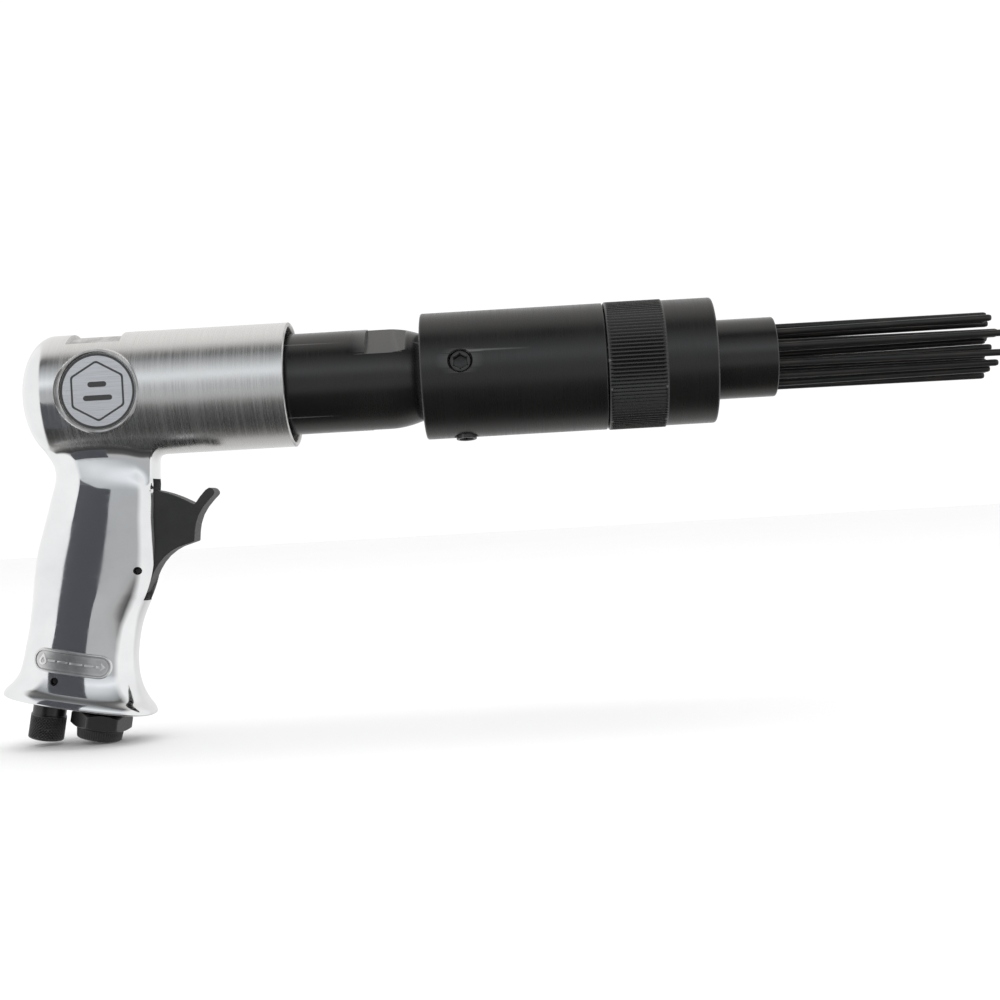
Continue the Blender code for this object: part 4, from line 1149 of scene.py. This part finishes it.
def studio_world():
    """Even white light, and for reflections a studio: cards and gaps round the tool, banded about X."""
    world = bpy.data.worlds.new("studio")
    world.use_nodes = True
    world.cycles.sampling_method = "NONE"
    tree = world.node_tree

    def node(kind, values=(), out=0, **settings):
        made = tree.nodes.new("ShaderNode" + kind)
        for key, value in settings.items():
            setattr(made, key, value)
        for key, value in dict(values).items():
            if isinstance(value, bpy.types.NodeSocket):
                tree.links.new(value, made.inputs[key])
            else:
                made.inputs[key].default_value = value
        return made.outputs[out]

    way = tree.nodes.new("ShaderNodeSeparateXYZ")
    tree.links.new(tree.nodes.new("ShaderNodeTexCoord").outputs["Generated"], way.inputs[0])
    x, y, z = way.outputs
    front = node("Math", {0: y, 1: -1.0}, operation="MULTIPLY")
    turn = node("Math", {0: z, 1: front}, operation="ARCTAN2")
    share = node("MapRange", {0: turn, 1: -math.pi, 2: math.pi})
    bands = tree.nodes.new("ShaderNodeValToRGB")
    tree.links.new(share, bands.inputs[0])
    bands.color_ramp.interpolation = "LINEAR"
    ramp = bands.color_ramp.elements
    for k, (angle, level, blue) in enumerate(STUDIO_BANDS):
        stop = ramp[k] if k < 2 else ramp.new(1.0)
        stop.position = (angle + 180.0) / 360.0
        stop.color = (level * (1.0 - blue), level, level * (1.0 + blue), 1.0)
    left = node("MapRange", {0: x, 1: -0.50, 2: -0.60, 3: 0.0, 4: 1.0}, clamp=True)
    right = node("MapRange", {0: x, 1: 0.62, 2: 0.80, 3: 0.0, 4: 1.0}, clamp=True)
    ends = node("Math", {0: left, 1: right}, operation="MAXIMUM")
    room = node("Mix", {0: ends, 6: bands.outputs[0], 7: (1.0, 1.0, 1.0, 1.0)}, out=2, data_type="RGBA")
    glossy = node("LightPath", out=3)
    seen = node("Mix", {0: glossy, 6: (1.03, 1.03, 1.03, 1.0), 7: room}, out=2, data_type="RGBA")
    tree.links.new(seen, tree.nodes["Background"].inputs["Color"])
    bpy.context.scene.world = world


def make_studio():
    scene = bpy.context.scene
    floor = Finish("pale_floor", Roughness=0.9, Specular_IOR_Level=0.1)
    tone = floor.noise(3.0, detail=2.0)
    look = floor.finish(Base_Color=floor.blend(tone, (0.93, 0.93, 0.93, 1), (0.95, 0.95, 0.95, 1)))
    low = CAD_BOX[0].z
    ground = staged_panel("floor", [(-4, -4, low), (4, -4, low), (4, 4, low), (-4, 4, low)], look)
    ground.visible_glossy = False

    slate = Finish("slate_card", Roughness=1.0, Specular_IOR_Level=0.0)
    cloud = slate.noise(6.0, detail=2.0)
    slate_look = slate.finish(Base_Color=slate.blend(cloud, CARD_DARK, CARD_PALE))
    corners = [GRIP @ Vector((u, CARD_Y, -s)) for u, s in CARD_CORNERS]
    card = staged_panel("slate_card", corners, slate_look)
    card.visible_camera = False
    card.visible_diffuse = False
    card.visible_shadow = False
    card.visible_transmission = False

    studio_world()
    scene.view_settings.view_transform = "Standard"
    lamp = bpy.data.lights.new("overhead", "AREA")
    lamp.shape = "RECTANGLE"
    lamp.size, lamp.size_y, lamp.energy = 1.6, 0.9, 5.0
    light = bpy.data.objects.new("overhead", lamp)
    light.location = (0.0, 0.1, 1.3)
    light.visible_glossy = False
    scene.collection.objects.link(light)


CAMERA_TARGET = (0.2124, 0.0, -0.0581)   # in the barrel frame
CAMERA_REACH = (0.0155, -0.666, 0.0)
CAMERA_LENS = 52.5
CAMERA_ROLL = math.radians(-3.23)


def make_camera():
    """The photograph's view: level with the grip, from the tool's right side."""
    target = BARREL @ Vector(CAMERA_TARGET)
    at = target + Vector(CAMERA_REACH)
    lens = bpy.data.cameras.new("camera")
    lens.lens, lens.sensor_width = CAMERA_LENS, 36.0
    lens.clip_start = 0.01
    camera = bpy.data.objects.new("camera", lens)
    look = (target - at).to_track_quat("-Z", "Y").to_matrix().to_4x4()
    camera.matrix_world = Matrix.Translation(at) @ look @ Matrix.Rotation(CAMERA_ROLL, 4, "Z")
    bpy.context.scene.collection.objects.link(camera)
    bpy.context.scene.camera = camera


make_housing()
make_badges()
make_plaque()
make_tube()
make_sleeve()
make_set_screws()
make_front_cap()
make_nose()
make_needles()
make_trigger()
make_pins()
make_regulator()
make_inlet()
dress_inner_parts()
make_studio()
make_camera()

bpy.context.view_layer.update()
